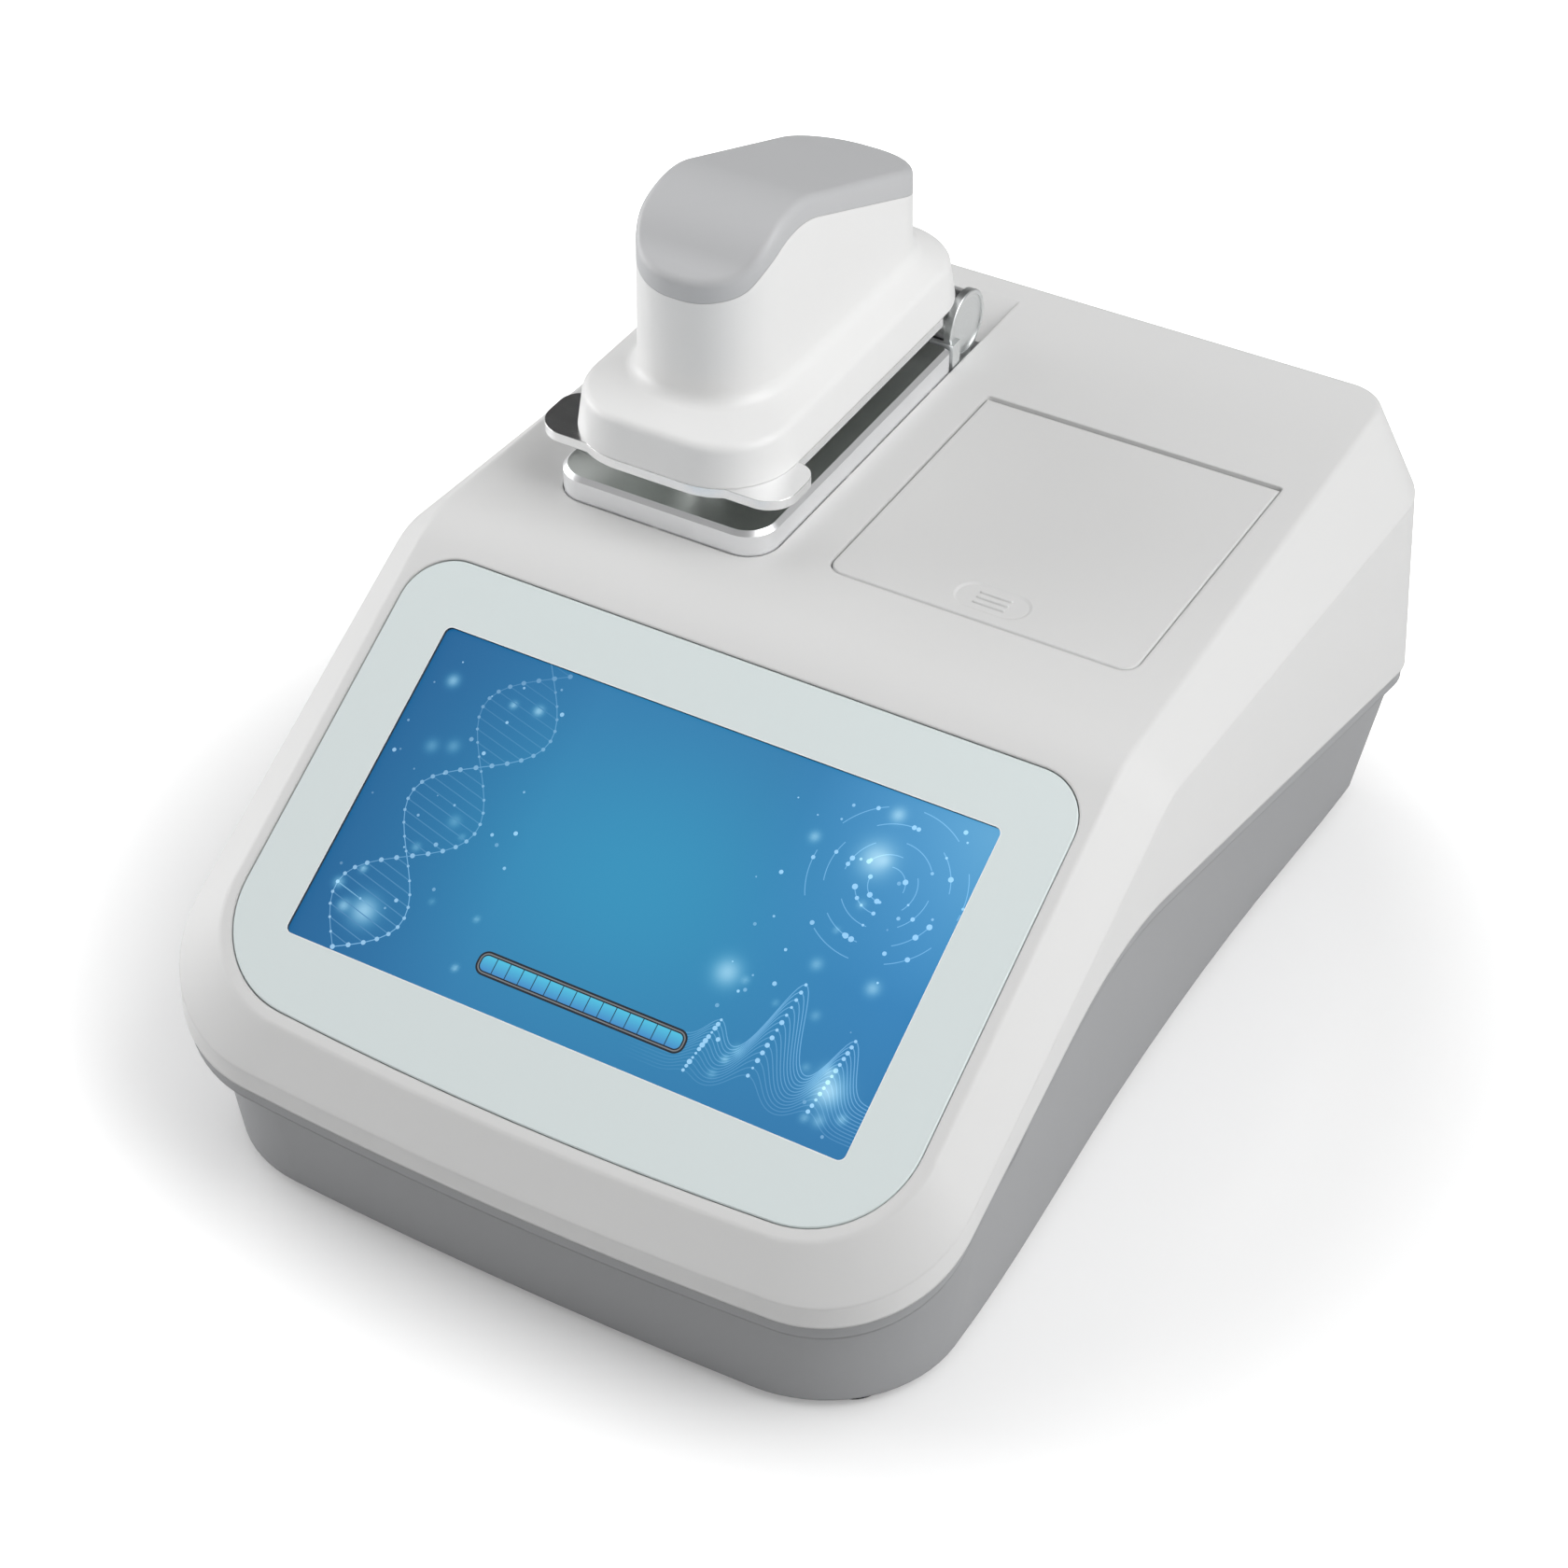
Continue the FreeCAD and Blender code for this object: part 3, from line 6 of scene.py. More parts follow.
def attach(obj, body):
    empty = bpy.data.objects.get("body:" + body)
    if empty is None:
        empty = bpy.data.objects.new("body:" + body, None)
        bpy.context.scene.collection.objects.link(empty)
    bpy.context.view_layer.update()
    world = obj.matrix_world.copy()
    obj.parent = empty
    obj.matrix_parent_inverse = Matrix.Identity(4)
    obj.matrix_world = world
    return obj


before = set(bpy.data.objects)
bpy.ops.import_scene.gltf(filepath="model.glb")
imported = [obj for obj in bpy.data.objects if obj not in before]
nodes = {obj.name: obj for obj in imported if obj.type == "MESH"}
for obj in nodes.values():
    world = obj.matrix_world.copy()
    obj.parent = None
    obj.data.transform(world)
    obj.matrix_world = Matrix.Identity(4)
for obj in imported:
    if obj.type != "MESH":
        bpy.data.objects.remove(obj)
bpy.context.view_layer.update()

# Camera: it stands in front of the right corner of the instrument and looks down at it with a long lens.
# Its place and turn put the corners of the screen where the photograph has them.
camera = bpy.data.cameras.new("camera")
camera.lens = 80.63
camera.sensor_width = 36.0
camera.clip_end = 20.0
eye = Vector((0.341995, -0.640979, 0.607652))
camera_right = Vector((0.8649, 0.5012, 0.0267))
camera_up = Vector((-0.3210, 0.5116, 0.7970))
camera_back = Vector((0.3858, -0.6979, 0.6034))
camera_object = bpy.data.objects.new("camera", camera)
camera_turn = Matrix((camera_right, camera_up, camera_back)).transposed()
camera_object.matrix_world = Matrix.Translation(eye) @ camera_turn.to_4x4()
bpy.context.scene.collection.objects.link(camera_object)
bpy.context.scene.camera = camera_object
bpy.context.scene.view_settings.view_transform = "Standard"

# Plain white studio: a wide floor, an even surround and five soft lamps, the strongest ones on the right.
# The floor glows white to the camera away from the instrument. Near it the glow is weaker, a painted shade
# that widens and deepens the soft real shadow round it.
FLOOR_HALF = 4.0
FLAT_SQUARE = np.array([[-1, -1, 0], [1, -1, 0], [1, 1, 0], [-1, 1, 0]])
GLOW_NEAR, GLOW_FAR = 0.20, 1.0
GLOW_FROM, GLOW_TO = 0.15, 0.30
AMBIENT = 0.29
WHITE = (1, 1, 1, 1)
LAMP_AIM = (0, 0, 0.1)


def add(tree, kind, sockets=None, **settings):
    """A new shader node in the tree, with the values of its sockets and its settings."""
    node = tree.nodes.new("ShaderNode" + kind)
    for name, value in settings.items():
        setattr(node, name, value)
    for name, value in (sockets or {}).items():
        node.inputs[name].default_value = value
    return node


def wire(tree, *wires):
    """Links nodes: each wire is a node, its output, the next node and that node's socket."""
    for source, output, target, socket in wires:
        tree.links.new(source.outputs[output], target.inputs[socket])


def new_material(name):
    """An empty node material, its tree and its output node."""
    material = bpy.data.materials.new(name)
    material.use_nodes = True
    material.node_tree.nodes.clear()
    return material, material.node_tree, add(material.node_tree, "OutputMaterial")


def mesh_piece(name, points, faces, smooth=True):
    """A mesh object at the origin from an array of points and an array or list of faces."""
    mesh = bpy.data.meshes.new(name)
    mesh.from_pydata(np.asarray(points).tolist(), [], np.asarray(faces).tolist())
    mesh.polygons.foreach_set("use_smooth", [smooth] * len(mesh.polygons))
    mesh.update()
    piece = bpy.data.objects.new(name, mesh)
    bpy.context.scene.collection.objects.link(piece)
    return piece


floor = mesh_piece("studio_floor", FLOOR_HALF * FLAT_SQUARE, [[0, 1, 2, 3]], False)
floor_white, tree, out = new_material("studio_floor")
floor_finish = {"Base Color": (0.80, 0.80, 0.80, 1), "Roughness": 0.22, "Specular IOR Level": 0.35}
surface = add(tree, "BsdfPrincipled", floor_finish)
glow = add(tree, "Emission")
path = add(tree, "LightPath")
place = add(tree, "TexCoord")
# Glow by distance from the middle: weak near the instrument, which paints shade on the floor round it.
distance = add(tree, "VectorMath", operation="LENGTH")
glow_range = {"From Min": GLOW_FROM, "From Max": GLOW_TO, "To Min": GLOW_NEAR, "To Max": GLOW_FAR}
level = add(tree, "MapRange", glow_range, interpolation_type="SMOOTHSTEP")
strength = add(tree, "Math", operation="MULTIPLY")
both = add(tree, "AddShader")
wire(tree,
     (place, "Object", distance, 0),
     (distance, "Value", level, "Value"),
     (path, "Is Camera Ray", strength, 0),
     (level, "Result", strength, 1),
     (strength, "Value", glow, "Strength"),
     (surface, "BSDF", both, 0),
     (glow, "Emission", both, 1),
     (both, "Shader", out, "Surface"))
floor.data.materials.append(floor_white)

world = bpy.data.worlds.new("studio")
bpy.context.scene.world = world
world.use_nodes = True
tree = world.node_tree
tree.nodes.clear()
seen = add(tree, "Background", {"Color": WHITE})
ambient = add(tree, "Background", {"Color": WHITE, "Strength": AMBIENT})
path = add(tree, "LightPath")
pick = add(tree, "MixShader")
out = add(tree, "OutputWorld")
wire(tree,
     (path, "Is Camera Ray", pick, 0),
     (ambient, "Background", pick, 1),
     (seen, "Background", pick, 2),
     (pick, "Shader", out, "Surface"))


def facing(place, aim):
    """Matrix at place whose -Z points at aim."""
    way = Vector(place) - Vector(aim)
    return Matrix.Translation(place) @ way.to_track_quat("Z", "Y").to_matrix().to_4x4()


def soft_lamp(name, place, size, power):
    """Flat lamp of that width and height in metres, turned to the instrument, with its power in watts."""
    lamp = bpy.data.lights.new(name, "AREA")
    lamp.shape = "RECTANGLE"
    lamp.size, lamp.size_y = size
    lamp.energy = power
    lamp_object = bpy.data.objects.new(name, lamp)
    lamp_object.matrix_world = facing(place, LAMP_AIM)
    bpy.context.scene.collection.objects.link(lamp_object)


soft_lamp("lamp_right", (1.1, -0.1, 0.75), (1.0, 1.0), 6.8)
soft_lamp("lamp_right_high", (0.9, 0.1, 1.4), (1.0, 1.0), 9.0)
soft_lamp("lamp_above", (0.0, 0.1, 1.8), (1.4, 1.4), 3.3)
soft_lamp("lamp_left", (-1.4, 0.2, 0.8), (1.0, 1.0), 5.6)
soft_lamp("lamp_left_low", (-1.2, -0.3, 0.35), (0.8, 0.5), 7.0)

# A dark card behind the left shoulder of the instrument, which only reflections see: polished metal shows
# dark on its top faces against it, as in a studio.
CARD_AT = (-0.42, 0.66, 0.84)
CARD_AIM = (-0.04, 0.02, 0.14)
CARD_HALF = 0.45
card_turn = np.array(facing(CARD_AT, CARD_AIM))
card_corners = CARD_HALF * FLAT_SQUARE @ card_turn[:3, :3].T + card_turn[:3, 3]
card = mesh_piece("dark_card", card_corners, [[0, 1, 2, 3]], False)
card_black, tree, out = new_material("dark_card")
surface = add(tree, "BsdfDiffuse", {"Color": (0.06, 0.06, 0.06, 1)})
wire(tree, (surface, "BSDF", out, "Surface"))
card.data.materials.append(card_black)
for kind in ("camera", "diffuse", "transmission", "shadow", "volume_scatter"):
    setattr(card, "visible_" + kind, False)

# Upper housing: one thick moulding in pale grey plastic with a fine matte texture, screwed to the base from
# below. It holds the screen bed, the pocket of the arm and the tray of the flap, which is the same plastic.


def shade(colour, factor):
    """The colour times a factor, no lighter than white, as a socket takes it."""
    return (*[min(1.0, part * factor) for part in colour], 1)


def moulded_plastic(name, colour, rough, grain=0.05, edge=0.0):
    """Moulded plastic: faint cloudy tone, uneven sheen, the tool's spark texture, edges rounded by edge."""
    material, tree, out = new_material(name)
    place = add(tree, "TexCoord")
    cloud = add(tree, "TexNoise", {"Scale": 9.0, "Detail": 4.0})
    spark = add(tree, "TexNoise", {"Scale": 1400.0, "Detail": 2.0})
    tone = add(tree, "MixRGB", {"Color1": shade(colour, 0.985), "Color2": shade(colour, 1.015)})
    sheen = add(tree, "MapRange", {"To Min": rough - 0.04, "To Max": rough + 0.04})
    relief = add(tree, "Bump", {"Strength": grain, "Distance": 0.0002})
    surface = add(tree, "BsdfPrincipled")
    wire(tree,
         (place, "Object", cloud, "Vector"),
         (place, "Object", spark, "Vector"),
         (cloud, "Fac", tone, "Fac"),
         (cloud, "Fac", sheen, "Value"),
         (spark, "Fac", relief, "Height"),
         (tone, "Color", surface, "Base Color"),
         (sheen, "Result", surface, "Roughness"),
         (relief, "Normal", surface, "Normal"),
         (surface, "BSDF", out, "Surface"))
    if edge > 0:
        soft_edge = add(tree, "Bevel", {"Radius": edge}, samples=4)
        wire(tree, (soft_edge, "Normal", relief, "Normal"))
    return material


def dress(names, material):
    """Gives CAD nodes their finish."""
    for name in names:
        nodes[name].data.materials.clear()
        nodes[name].data.materials.append(material)


dress(["upper_shell"], moulded_plastic("shell_white", (0.72, 0.72, 0.716), 0.5, edge=0.0010))
dress(["cuvette_lid"], moulded_plastic("lid_white", (0.71, 0.71, 0.706), 0.5, edge=0.0004))

# Base: a mid grey moulding of the same texture, which carries the upper housing on a lip and a tongue.
# It stands on four black rubber feet, and four deep steel screws hold the two halves together.
dress(["base_shell"], moulded_plastic("base_grey", (0.345, 0.35, 0.36), 0.5, edge=0.001))
dress(["rubber_feet"], moulded_plastic("foot_rubber", (0.02, 0.02, 0.02), 0.8, 0.2))


def bare_metal(name, colour, rough, streaks=(60.0, 60.0, 60.0), edge=0.0003):
    """Bare metal with the fine lines of its cutting or rolling, long along the axis whose streak is small."""
    material, tree, out = new_material(name)
    place = add(tree, "TexCoord")
    stretch = add(tree, "Mapping", {"Scale": streaks})
    lines = add(tree, "TexNoise", {"Scale": 12.0, "Detail": 5.0})
    sheen = add(tree, "MapRange", {"To Min": max(0.02, rough - 0.06), "To Max": rough + 0.06})
    tone = add(tree, "MixRGB", {"Color1": shade(colour, 0.94), "Color2": shade(colour, 1.05)})
    soft_edge = add(tree, "Bevel", {"Radius": edge}, samples=4)
    surface = add(tree, "BsdfPrincipled", {"Metallic": 1.0})
    wire(tree,
         (place, "Object", stretch, "Vector"),
         (stretch, "Vector", lines, "Vector"),
         (lines, "Fac", sheen, "Value"),
         (lines, "Fac", tone, "Fac"),
         (tone, "Color", surface, "Base Color"),
         (sheen, "Result", surface, "Roughness"),
         (soft_edge, "Normal", surface, "Normal"),
         (surface, "BSDF", out, "Surface"))
    return material


steel = bare_metal("screw_steel", (0.5, 0.5, 0.5), 0.35)
dress(["base_screws"], steel)

# Touch screen glass: one flat sheet set flush in the slope. Its border is printed pale blue-green on the back
# and the window in the print is clear, so that the picture shows a little below the face.
RIDGE = Vector((0.0, -0.035, 0.1275))
SCREEN_TILT = math.radians(33.33)
WINDOW_W = 0.15421
WINDOW_H = 0.08592
WINDOW_R = 0.0018
WINDOW_MID = 0.0693


def printed_glass(name, colour):
    """Glossy pale print with a clear window, cut by the distance to a rounded rectangle on the slope."""
    material, tree, out = new_material(name)
    place = add(tree, "TexCoord")
    from_ridge = add(tree, "VectorMath", {1: RIDGE}, operation="SUBTRACT")
    across = add(tree, "SeparateXYZ")
    up_slope = (0, math.cos(SCREEN_TILT), math.sin(SCREEN_TILT))
    up = add(tree, "VectorMath", {1: up_slope}, operation="DOT_PRODUCT")
    from_mid = add(tree, "Math", {1: WINDOW_MID}, operation="ADD")
    flat = add(tree, "CombineXYZ")
    core = (WINDOW_W / 2 - WINDOW_R, WINDOW_H / 2 - WINDOW_R, 0)
    mirrored = add(tree, "VectorMath", operation="ABSOLUTE")
    past_core = add(tree, "VectorMath", {1: core}, operation="SUBTRACT")
    outside = add(tree, "VectorMath", {1: (0, 0, 0)}, operation="MAXIMUM")
    distance = add(tree, "VectorMath", operation="LENGTH")
    printed = add(tree, "Math", {1: WINDOW_R}, operation="GREATER_THAN")
    ink = add(tree, "TexNoise", {"Scale": 6.0})
    tone = add(tree, "MixRGB", {"Color1": shade(colour, 0.99), "Color2": shade(colour, 1.01)})
    surface = add(tree, "BsdfPrincipled", {"Roughness": 0.2})
    wire(tree,
         (place, "Object", from_ridge, 0),
         (from_ridge, "Vector", across, 0),
         (from_ridge, "Vector", up, 0),
         (up, "Value", from_mid, 0),
         (across, "X", flat, "X"),
         (from_mid, "Value", flat, "Y"),
         (flat, "Vector", mirrored, 0),
         (mirrored, "Vector", past_core, 0),
         (past_core, "Vector", outside, 0),
         (outside, "Vector", distance, 0),
         (distance, "Value", printed, 0),
         (printed, "Value", surface, "Alpha"),
         (place, "Object", ink, "Vector"),
         (ink, "Fac", tone, "Fac"),
         (tone, "Color", surface, "Base Color"),
         (surface, "BSDF", out, "Surface"))
    return material


dress(["touch_glass"], printed_glass("screen_glass", (0.735, 0.805, 0.805)))

# Display: a wide panel behind the glass. The picture is a blue field with soft glows, a twisted ladder on the
# left and curves with rings on the right, as lines and dots of light a little above it, and no words.
PICTURE_LIFT = -0.0009
STEP_LIFT = 0.00002
PICTURE_CELL = 0.00065
LINE_W = 0.00024
DOT_SIDES = 10
LINE_COLOUR, DOT_COLOUR = (170, 215, 240), (200, 235, 250)
MIDDLE_REACH_X, MIDDLE_REACH_Y = 0.055, 0.045
MIDDLE_SHARE, HIGH_SHARE, LEFT_DROP = 0.25, 0.75, 18.0
EDGE_BLUE, MID_BLUE = np.array([42.0, 103.0, 158.0]), np.array([48.0, 141.0, 183.0])
RIGHT_BLUE, HIGH_BLUE = np.array([52.0, 134.0, 194.0]), np.array([104.0, 172.0, 214.0])
GLOW_BLUE = np.array([186.0, 232.0, 255.0])
LEFT_GLOWS, RIGHT_GLOWS = 14, 18
GLOWS = LEFT_GLOWS + RIGHT_GLOWS
LARGE_GLOWS = [(0.052, 0.026, 0.0042, 0.75), (0.031, -0.012, 0.0034, 0.65), (0.066, -0.029, 0.0040, 0.80),
               (-0.061, -0.031, 0.0036, 0.70)]
SEED = 11
chance = np.random.default_rng(SEED)
glow_x = np.concatenate([chance.uniform(-0.072, -0.03, LEFT_GLOWS), chance.uniform(0.03, 0.073, RIGHT_GLOWS)])
glow_y = chance.uniform(-0.038, 0.038, GLOWS)
glow_reach = chance.uniform(0.0007, 0.0018, GLOWS)
glow_power = chance.uniform(0.25, 0.7, GLOWS)
glows = np.concatenate([np.column_stack([glow_x, glow_y, glow_reach, glow_power]), LARGE_GLOWS])
slope_place = np.array(Matrix.Translation(RIDGE) @ Matrix.Rotation(SCREEN_TILT, 4, "X"))


def light(colour):
    """Screen colour of 0 to 255 as the light that shows it."""
    return (np.asarray(colour, float) / 255.0) ** 2.2


def ramp(value, start, length):
    """0 up to start, then an even rise to 1 over length, as a column."""
    return np.clip((value - start) / length, 0, 1)[:, None]


def picture_light(x, y):
    """Light of the picture at x, y from its middle.

    The middle blue fades out as a bell, and even ramps turn the right and the upper right lighter and the
    left darker. Each glow is a bell towards pale blue.
    """
    near = np.exp(-(x / MIDDLE_REACH_X) ** 2 - (y / MIDDLE_REACH_Y) ** 2)[:, None]
    tone = EDGE_BLUE + MIDDLE_SHARE * (MID_BLUE - EDGE_BLUE)
    tone = tone + near * (MID_BLUE - tone)
    tone = tone + ramp(x, 0.02, 0.05) * ramp(y, -0.048, 0.08) * (RIGHT_BLUE - tone)
    tone = tone - LEFT_DROP * ramp(-x, 0.03, 0.047)
    tone = tone + HIGH_SHARE * ramp(x, 0.03, 0.045) * ramp(y, -0.005, 0.045) * (HIGH_BLUE - tone)
    for at_x, at_y, reach, power in glows:
        spot = power * np.exp(-((x - at_x) ** 2 + (y - at_y) ** 2) / reach ** 2)[:, None]
        tone = tone + spot * (GLOW_BLUE - tone)
    return light(np.clip(tone, 0, 255))


def on_slope(x, y, lift):
    """Points of the slope at x, y from the window's middle and lift out of the glass face, as rows."""
    points = np.stack([x, y - WINDOW_MID, np.full_like(x, lift)], 1)
    return points @ slope_place[:3, :3].T + slope_place[:3, 3]


screen_light, tree, out = new_material("screen_picture")
panel_finish = {"Base Color": (0.01, 0.012, 0.015, 1), "Roughness": 0.25, "Emission Strength": 1.0}
surface = add(tree, "BsdfPrincipled", panel_finish)
tint = add(tree, "Attribute", attribute_name="tint")
wire(tree, (tint, "Color", surface, "Emission Color"), (surface, "BSDF", out, "Surface"))


def lit_piece(name, x, y, lift, faces, colours):
    """Flat piece of light on the slope with a colour at each point."""
    piece = mesh_piece(name, on_slope(x, y, lift), faces, False)
    layer = piece.data.color_attributes.new("tint", "FLOAT_COLOR", "POINT")
    layer.data.foreach_set("color", np.column_stack([colours, np.ones(len(colours))]).ravel())
    piece.data.materials.append(screen_light)
    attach(piece, "body_main")


columns = int(WINDOW_W / PICTURE_CELL)
rows = int(WINDOW_H / PICTURE_CELL)
column_x = np.linspace(-WINDOW_W / 2, WINDOW_W / 2, columns)
row_y = np.linspace(-WINDOW_H / 2, WINDOW_H / 2, rows)
field_x, field_y = [part.ravel() for part in np.meshgrid(column_x, row_y)]
first = (np.arange(rows - 1)[:, None] * columns + np.arange(columns - 1)).ravel()
cells = np.stack([first, first + 1, first + columns + 1, first + columns], 1)
lit_piece("screen_picture", field_x, field_y, PICTURE_LIFT, cells, picture_light(field_x, field_y))


def ribbons(name, x0, y0, x1, y1, amount, lift):
    """Straight lines of light: each is a thin quad, its colour the picture's own raised by amount."""
    dx, dy = x1 - x0, y1 - y0
    long = np.hypot(dx, dy)
    side_x, side_y = -dy / long * LINE_W / 2, dx / long * LINE_W / 2
    x = np.stack([x0 - side_x, x1 - side_x, x1 + side_x, x0 + side_x], 1).ravel()
    y = np.stack([y0 - side_y, y1 - side_y, y1 + side_y, y0 + side_y], 1).ravel()
    mixed = picture_light(x, y) + np.repeat(amount, 4)[:, None] * light(LINE_COLOUR)
    lit_piece(name, x, y, lift, np.arange(len(x)).reshape(-1, 4), np.clip(mixed, 0, 1))


def dots(name, middle_x, middle_y, radius, amount, lift):
    """Round dots of light: each is a flat ring of points about its middle."""
    turn = np.linspace(0, 2 * math.pi, DOT_SIDES, endpoint=False)
    x = (middle_x[:, None] + radius[:, None] * np.cos(turn)).ravel()
    y = (middle_y[:, None] + radius[:, None] * np.sin(turn)).ravel()
    mixed = picture_light(x, y) + np.repeat(amount, DOT_SIDES)[:, None] * light(DOT_COLOUR)
    lit_piece(name, x, y, lift, np.arange(len(x)).reshape(-1, DOT_SIDES), np.clip(mixed, 0, 1))


# Twisted ladder on the left of the picture: two strands that swing about a slanted line, with rungs between.
# A strand's offset from the line is a sine of the way along it, and its dots grow where it comes forward.
LADDER_FOOT = np.array([-0.064, -0.042])
LADDER_HEAD = np.array([-0.044, 0.0425])
LADDER_SWING = 0.0105
LADDER_TURNS = 1.55
RUNGS = 34
RUNG_LEAST = 1e-5
FRONT_LIGHT, BACK_LIGHT, RUNG_LIGHT, END_LIGHT = 0.45, 0.3, 0.16, 0.5
END_SMALL, END_LARGE = 0.00035, 0.00065
along = np.linspace(0, 1, RUNGS)
way = LADDER_HEAD - LADDER_FOOT
middle = LADDER_FOOT + along[:, None] * way
side = np.array([way[1], -way[0]]) / np.linalg.norm(way)
phase = 2 * math.pi * LADDER_TURNS * along
swing = (LADDER_SWING * np.sin(phase))[:, None] * side
front, back = middle + swing, middle - swing
forward = 0.5 + 0.5 * np.cos(phase)
fade = 0.35 + 0.65 * (1 - along)
starts = np.concatenate([front[:-1], back[:-1], front])
ends = np.concatenate([front[1:], back[1:], back + RUNG_LEAST])
amount = np.concatenate([FRONT_LIGHT * fade[:-1], BACK_LIGHT * fade[:-1], RUNG_LIGHT * fade])
ribbons("ladder_lines", *starts.T, *ends.T, amount, PICTURE_LIFT + STEP_LIFT)
growth = (END_LARGE - END_SMALL) * forward
dot_sizes = np.concatenate([END_SMALL + growth, END_LARGE - growth])
dots("ladder_dots", *np.concatenate([front, back]).T, dot_sizes, np.tile(END_LIGHT * fade, 2),
     PICTURE_LIFT + 2 * STEP_LIFT)

# Traces on the right of the picture: a family of peaked curves like a set of spectra, each peak with a dot.
# A curve is a flat line plus a bell for each peak, and both rise from one curve of the family to the next.
TRACES = 13
TRACE_STEPS = 90
TRACE_FROM, TRACE_TO = 0.014, 0.0768
TRACE_Y, TRACE_RISE, TRACE_DRIFT = -0.039, 0.010, 0.003
PEAKS = ((0.032, 0.0035, 0.006), (0.047, 0.0052, 0.021), (0.064, 0.0042, 0.013))
PEAK_LIGHT = 0.5
trace_x = np.linspace(TRACE_FROM, TRACE_TO, TRACE_STEPS)
family = np.linspace(0, 1, TRACES)[:, None]
trace_y = np.full((TRACES, TRACE_STEPS), TRACE_Y) + TRACE_RISE * family
for peak_x, spread, height in PEAKS:
    bell = np.exp(-((trace_x - peak_x - TRACE_DRIFT * family) / spread) ** 2)
    trace_y = trace_y + height * (0.30 + 0.70 * family) * bell
fade = np.clip((trace_x - TRACE_FROM) / 0.03, 0, 1) * (0.10 + 0.17 * family)
spans = np.repeat(trace_x[None, :], TRACES, 0)
span_ends = [part.ravel() for part in (spans[:, :-1], trace_y[:, :-1], spans[:, 1:], trace_y[:, 1:])]
ribbons("trace_lines", *span_ends, fade[:, :-1].ravel(), PICTURE_LIFT + STEP_LIFT)
top_x = np.array(PEAKS)[:, 0, None, None] + TRACE_DRIFT * family
top_at = np.abs(trace_x - top_x).argmin(2)
top_y = trace_y[np.arange(TRACES), top_at]
dots("trace_dots", top_x.ravel(), top_y.ravel(), chance.uniform(0.0003, 0.0007, top_x.size),
     np.full(top_x.size, PEAK_LIGHT), PICTURE_LIFT + 2 * STEP_LIFT)

# Broken rings round one point above the traces, with beads on the rings, and loose dots on both sides.
# A ring is kept where a sine of its angle is high enough, and only inside the window.
RING_AT = (0.057, 0.021)
RING_RADII = (0.0045, 0.0075, 0.0110, 0.0152, 0.0195)
RING_STEPS = 240
RING_LIGHT, BEAD_LIGHT = 0.26, 0.45
SHOWN_X, SHOWN_Y = 0.0765, 0.0425
BEADS = 34
LOOSE = 60
angles = np.linspace(0, 2 * math.pi, RING_STEPS, endpoint=False)
arcs = []
for k, radius in enumerate(RING_RADII):
    kept = angles[np.sin(angles * (2 + k) + 1.7 * k) > -0.25]
    kept_ends = kept + angles[1]
    arcs.append([RING_AT[0] + radius * np.cos(kept), RING_AT[1] + radius * np.sin(kept),
                 RING_AT[0] + radius * np.cos(kept_ends), RING_AT[1] + radius * np.sin(kept_ends)])
rings = np.concatenate(arcs, 1)
rings = rings[:, np.all((np.abs(rings[::2]) < SHOWN_X) & (np.abs(rings[1::2]) < SHOWN_Y), axis=0)]
ring_parts = rings.shape[1]
ribbons("ring_lines", *rings, np.full(ring_parts, RING_LIGHT), PICTURE_LIFT + STEP_LIFT)
bead = chance.integers(0, ring_parts, BEADS)
dots("ring_beads", *rings[:2, bead], chance.uniform(0.0003, 0.0008, BEADS), np.full(BEADS, BEAD_LIGHT),
     PICTURE_LIFT + 2 * STEP_LIFT)
on_left = chance.random(LOOSE) < 0.5
loose_x = np.where(on_left, chance.uniform(-0.075, -0.028, LOOSE), chance.uniform(0.020, 0.0755, LOOSE))
loose_y = chance.uniform(-0.041, 0.041, LOOSE)
loose_radius = chance.uniform(0.0002, 0.0006, LOOSE)
loose_light = chance.uniform(0.15, 0.5, LOOSE)
dots("loose_dots", loose_x, loose_y, loose_radius, loose_light, PICTURE_LIFT + 3 * STEP_LIFT)

# Progress bar low in the picture: a pill with a dark line, a tan band and a second dark line round it, and
# fifteen lit cells between thin dark dividers.
BAR_X = (-0.0278, 0.0298)
BAR_Y = (-0.0347, -0.0285)
BAR_R = 0.0026
BAR_CELLS = 15
RIMS = ((0.0, (28, 34, 42)), (0.00050, (120, 122, 124)), (0.00082, (26, 32, 40)))
FILL_INSET = 0.00116
FILL_LOW, FILL_HIGH = (66, 136, 196), (78, 190, 222)
DIVIDER_HALF = 0.00012
DIVIDER_COLOUR = (30, 60, 80)
CORNER_STEPS = 8


def pill(x_range, y_range, r, inset=0.0):
    """Outline of a rectangle with round corners, drawn in by inset, anticlockwise, as two arrays."""
    x0, x1 = x_range[0] + inset, x_range[1] - inset
    y0, y1 = y_range[0] + inset, y_range[1] - inset
    r = r - inset
    turn = np.linspace(0, math.pi / 2, CORNER_STEPS)
    quarter = [(x1 - r, y0 + r, -90), (x1 - r, y1 - r, 0), (x0 + r, y1 - r, 90), (x0 + r, y0 + r, 180)]
    x = np.concatenate([cx + r * np.cos(turn + math.radians(a)) for cx, cy, a in quarter])
    y = np.concatenate([cy + r * np.sin(turn + math.radians(a)) for cx, cy, a in quarter])
    return x, y


def filled(name, outline, lift, low_colour, high_colour):
    """Filled outline whose colour runs from low to high up the picture."""
    x, y = outline
    rise = ((y - y.min()) / (y.max() - y.min()))[:, None]
    colours = light(low_colour) + rise * (light(high_colour) - light(low_colour))
    lit_piece(name, x, y, lift, [list(range(len(x)))], colours)


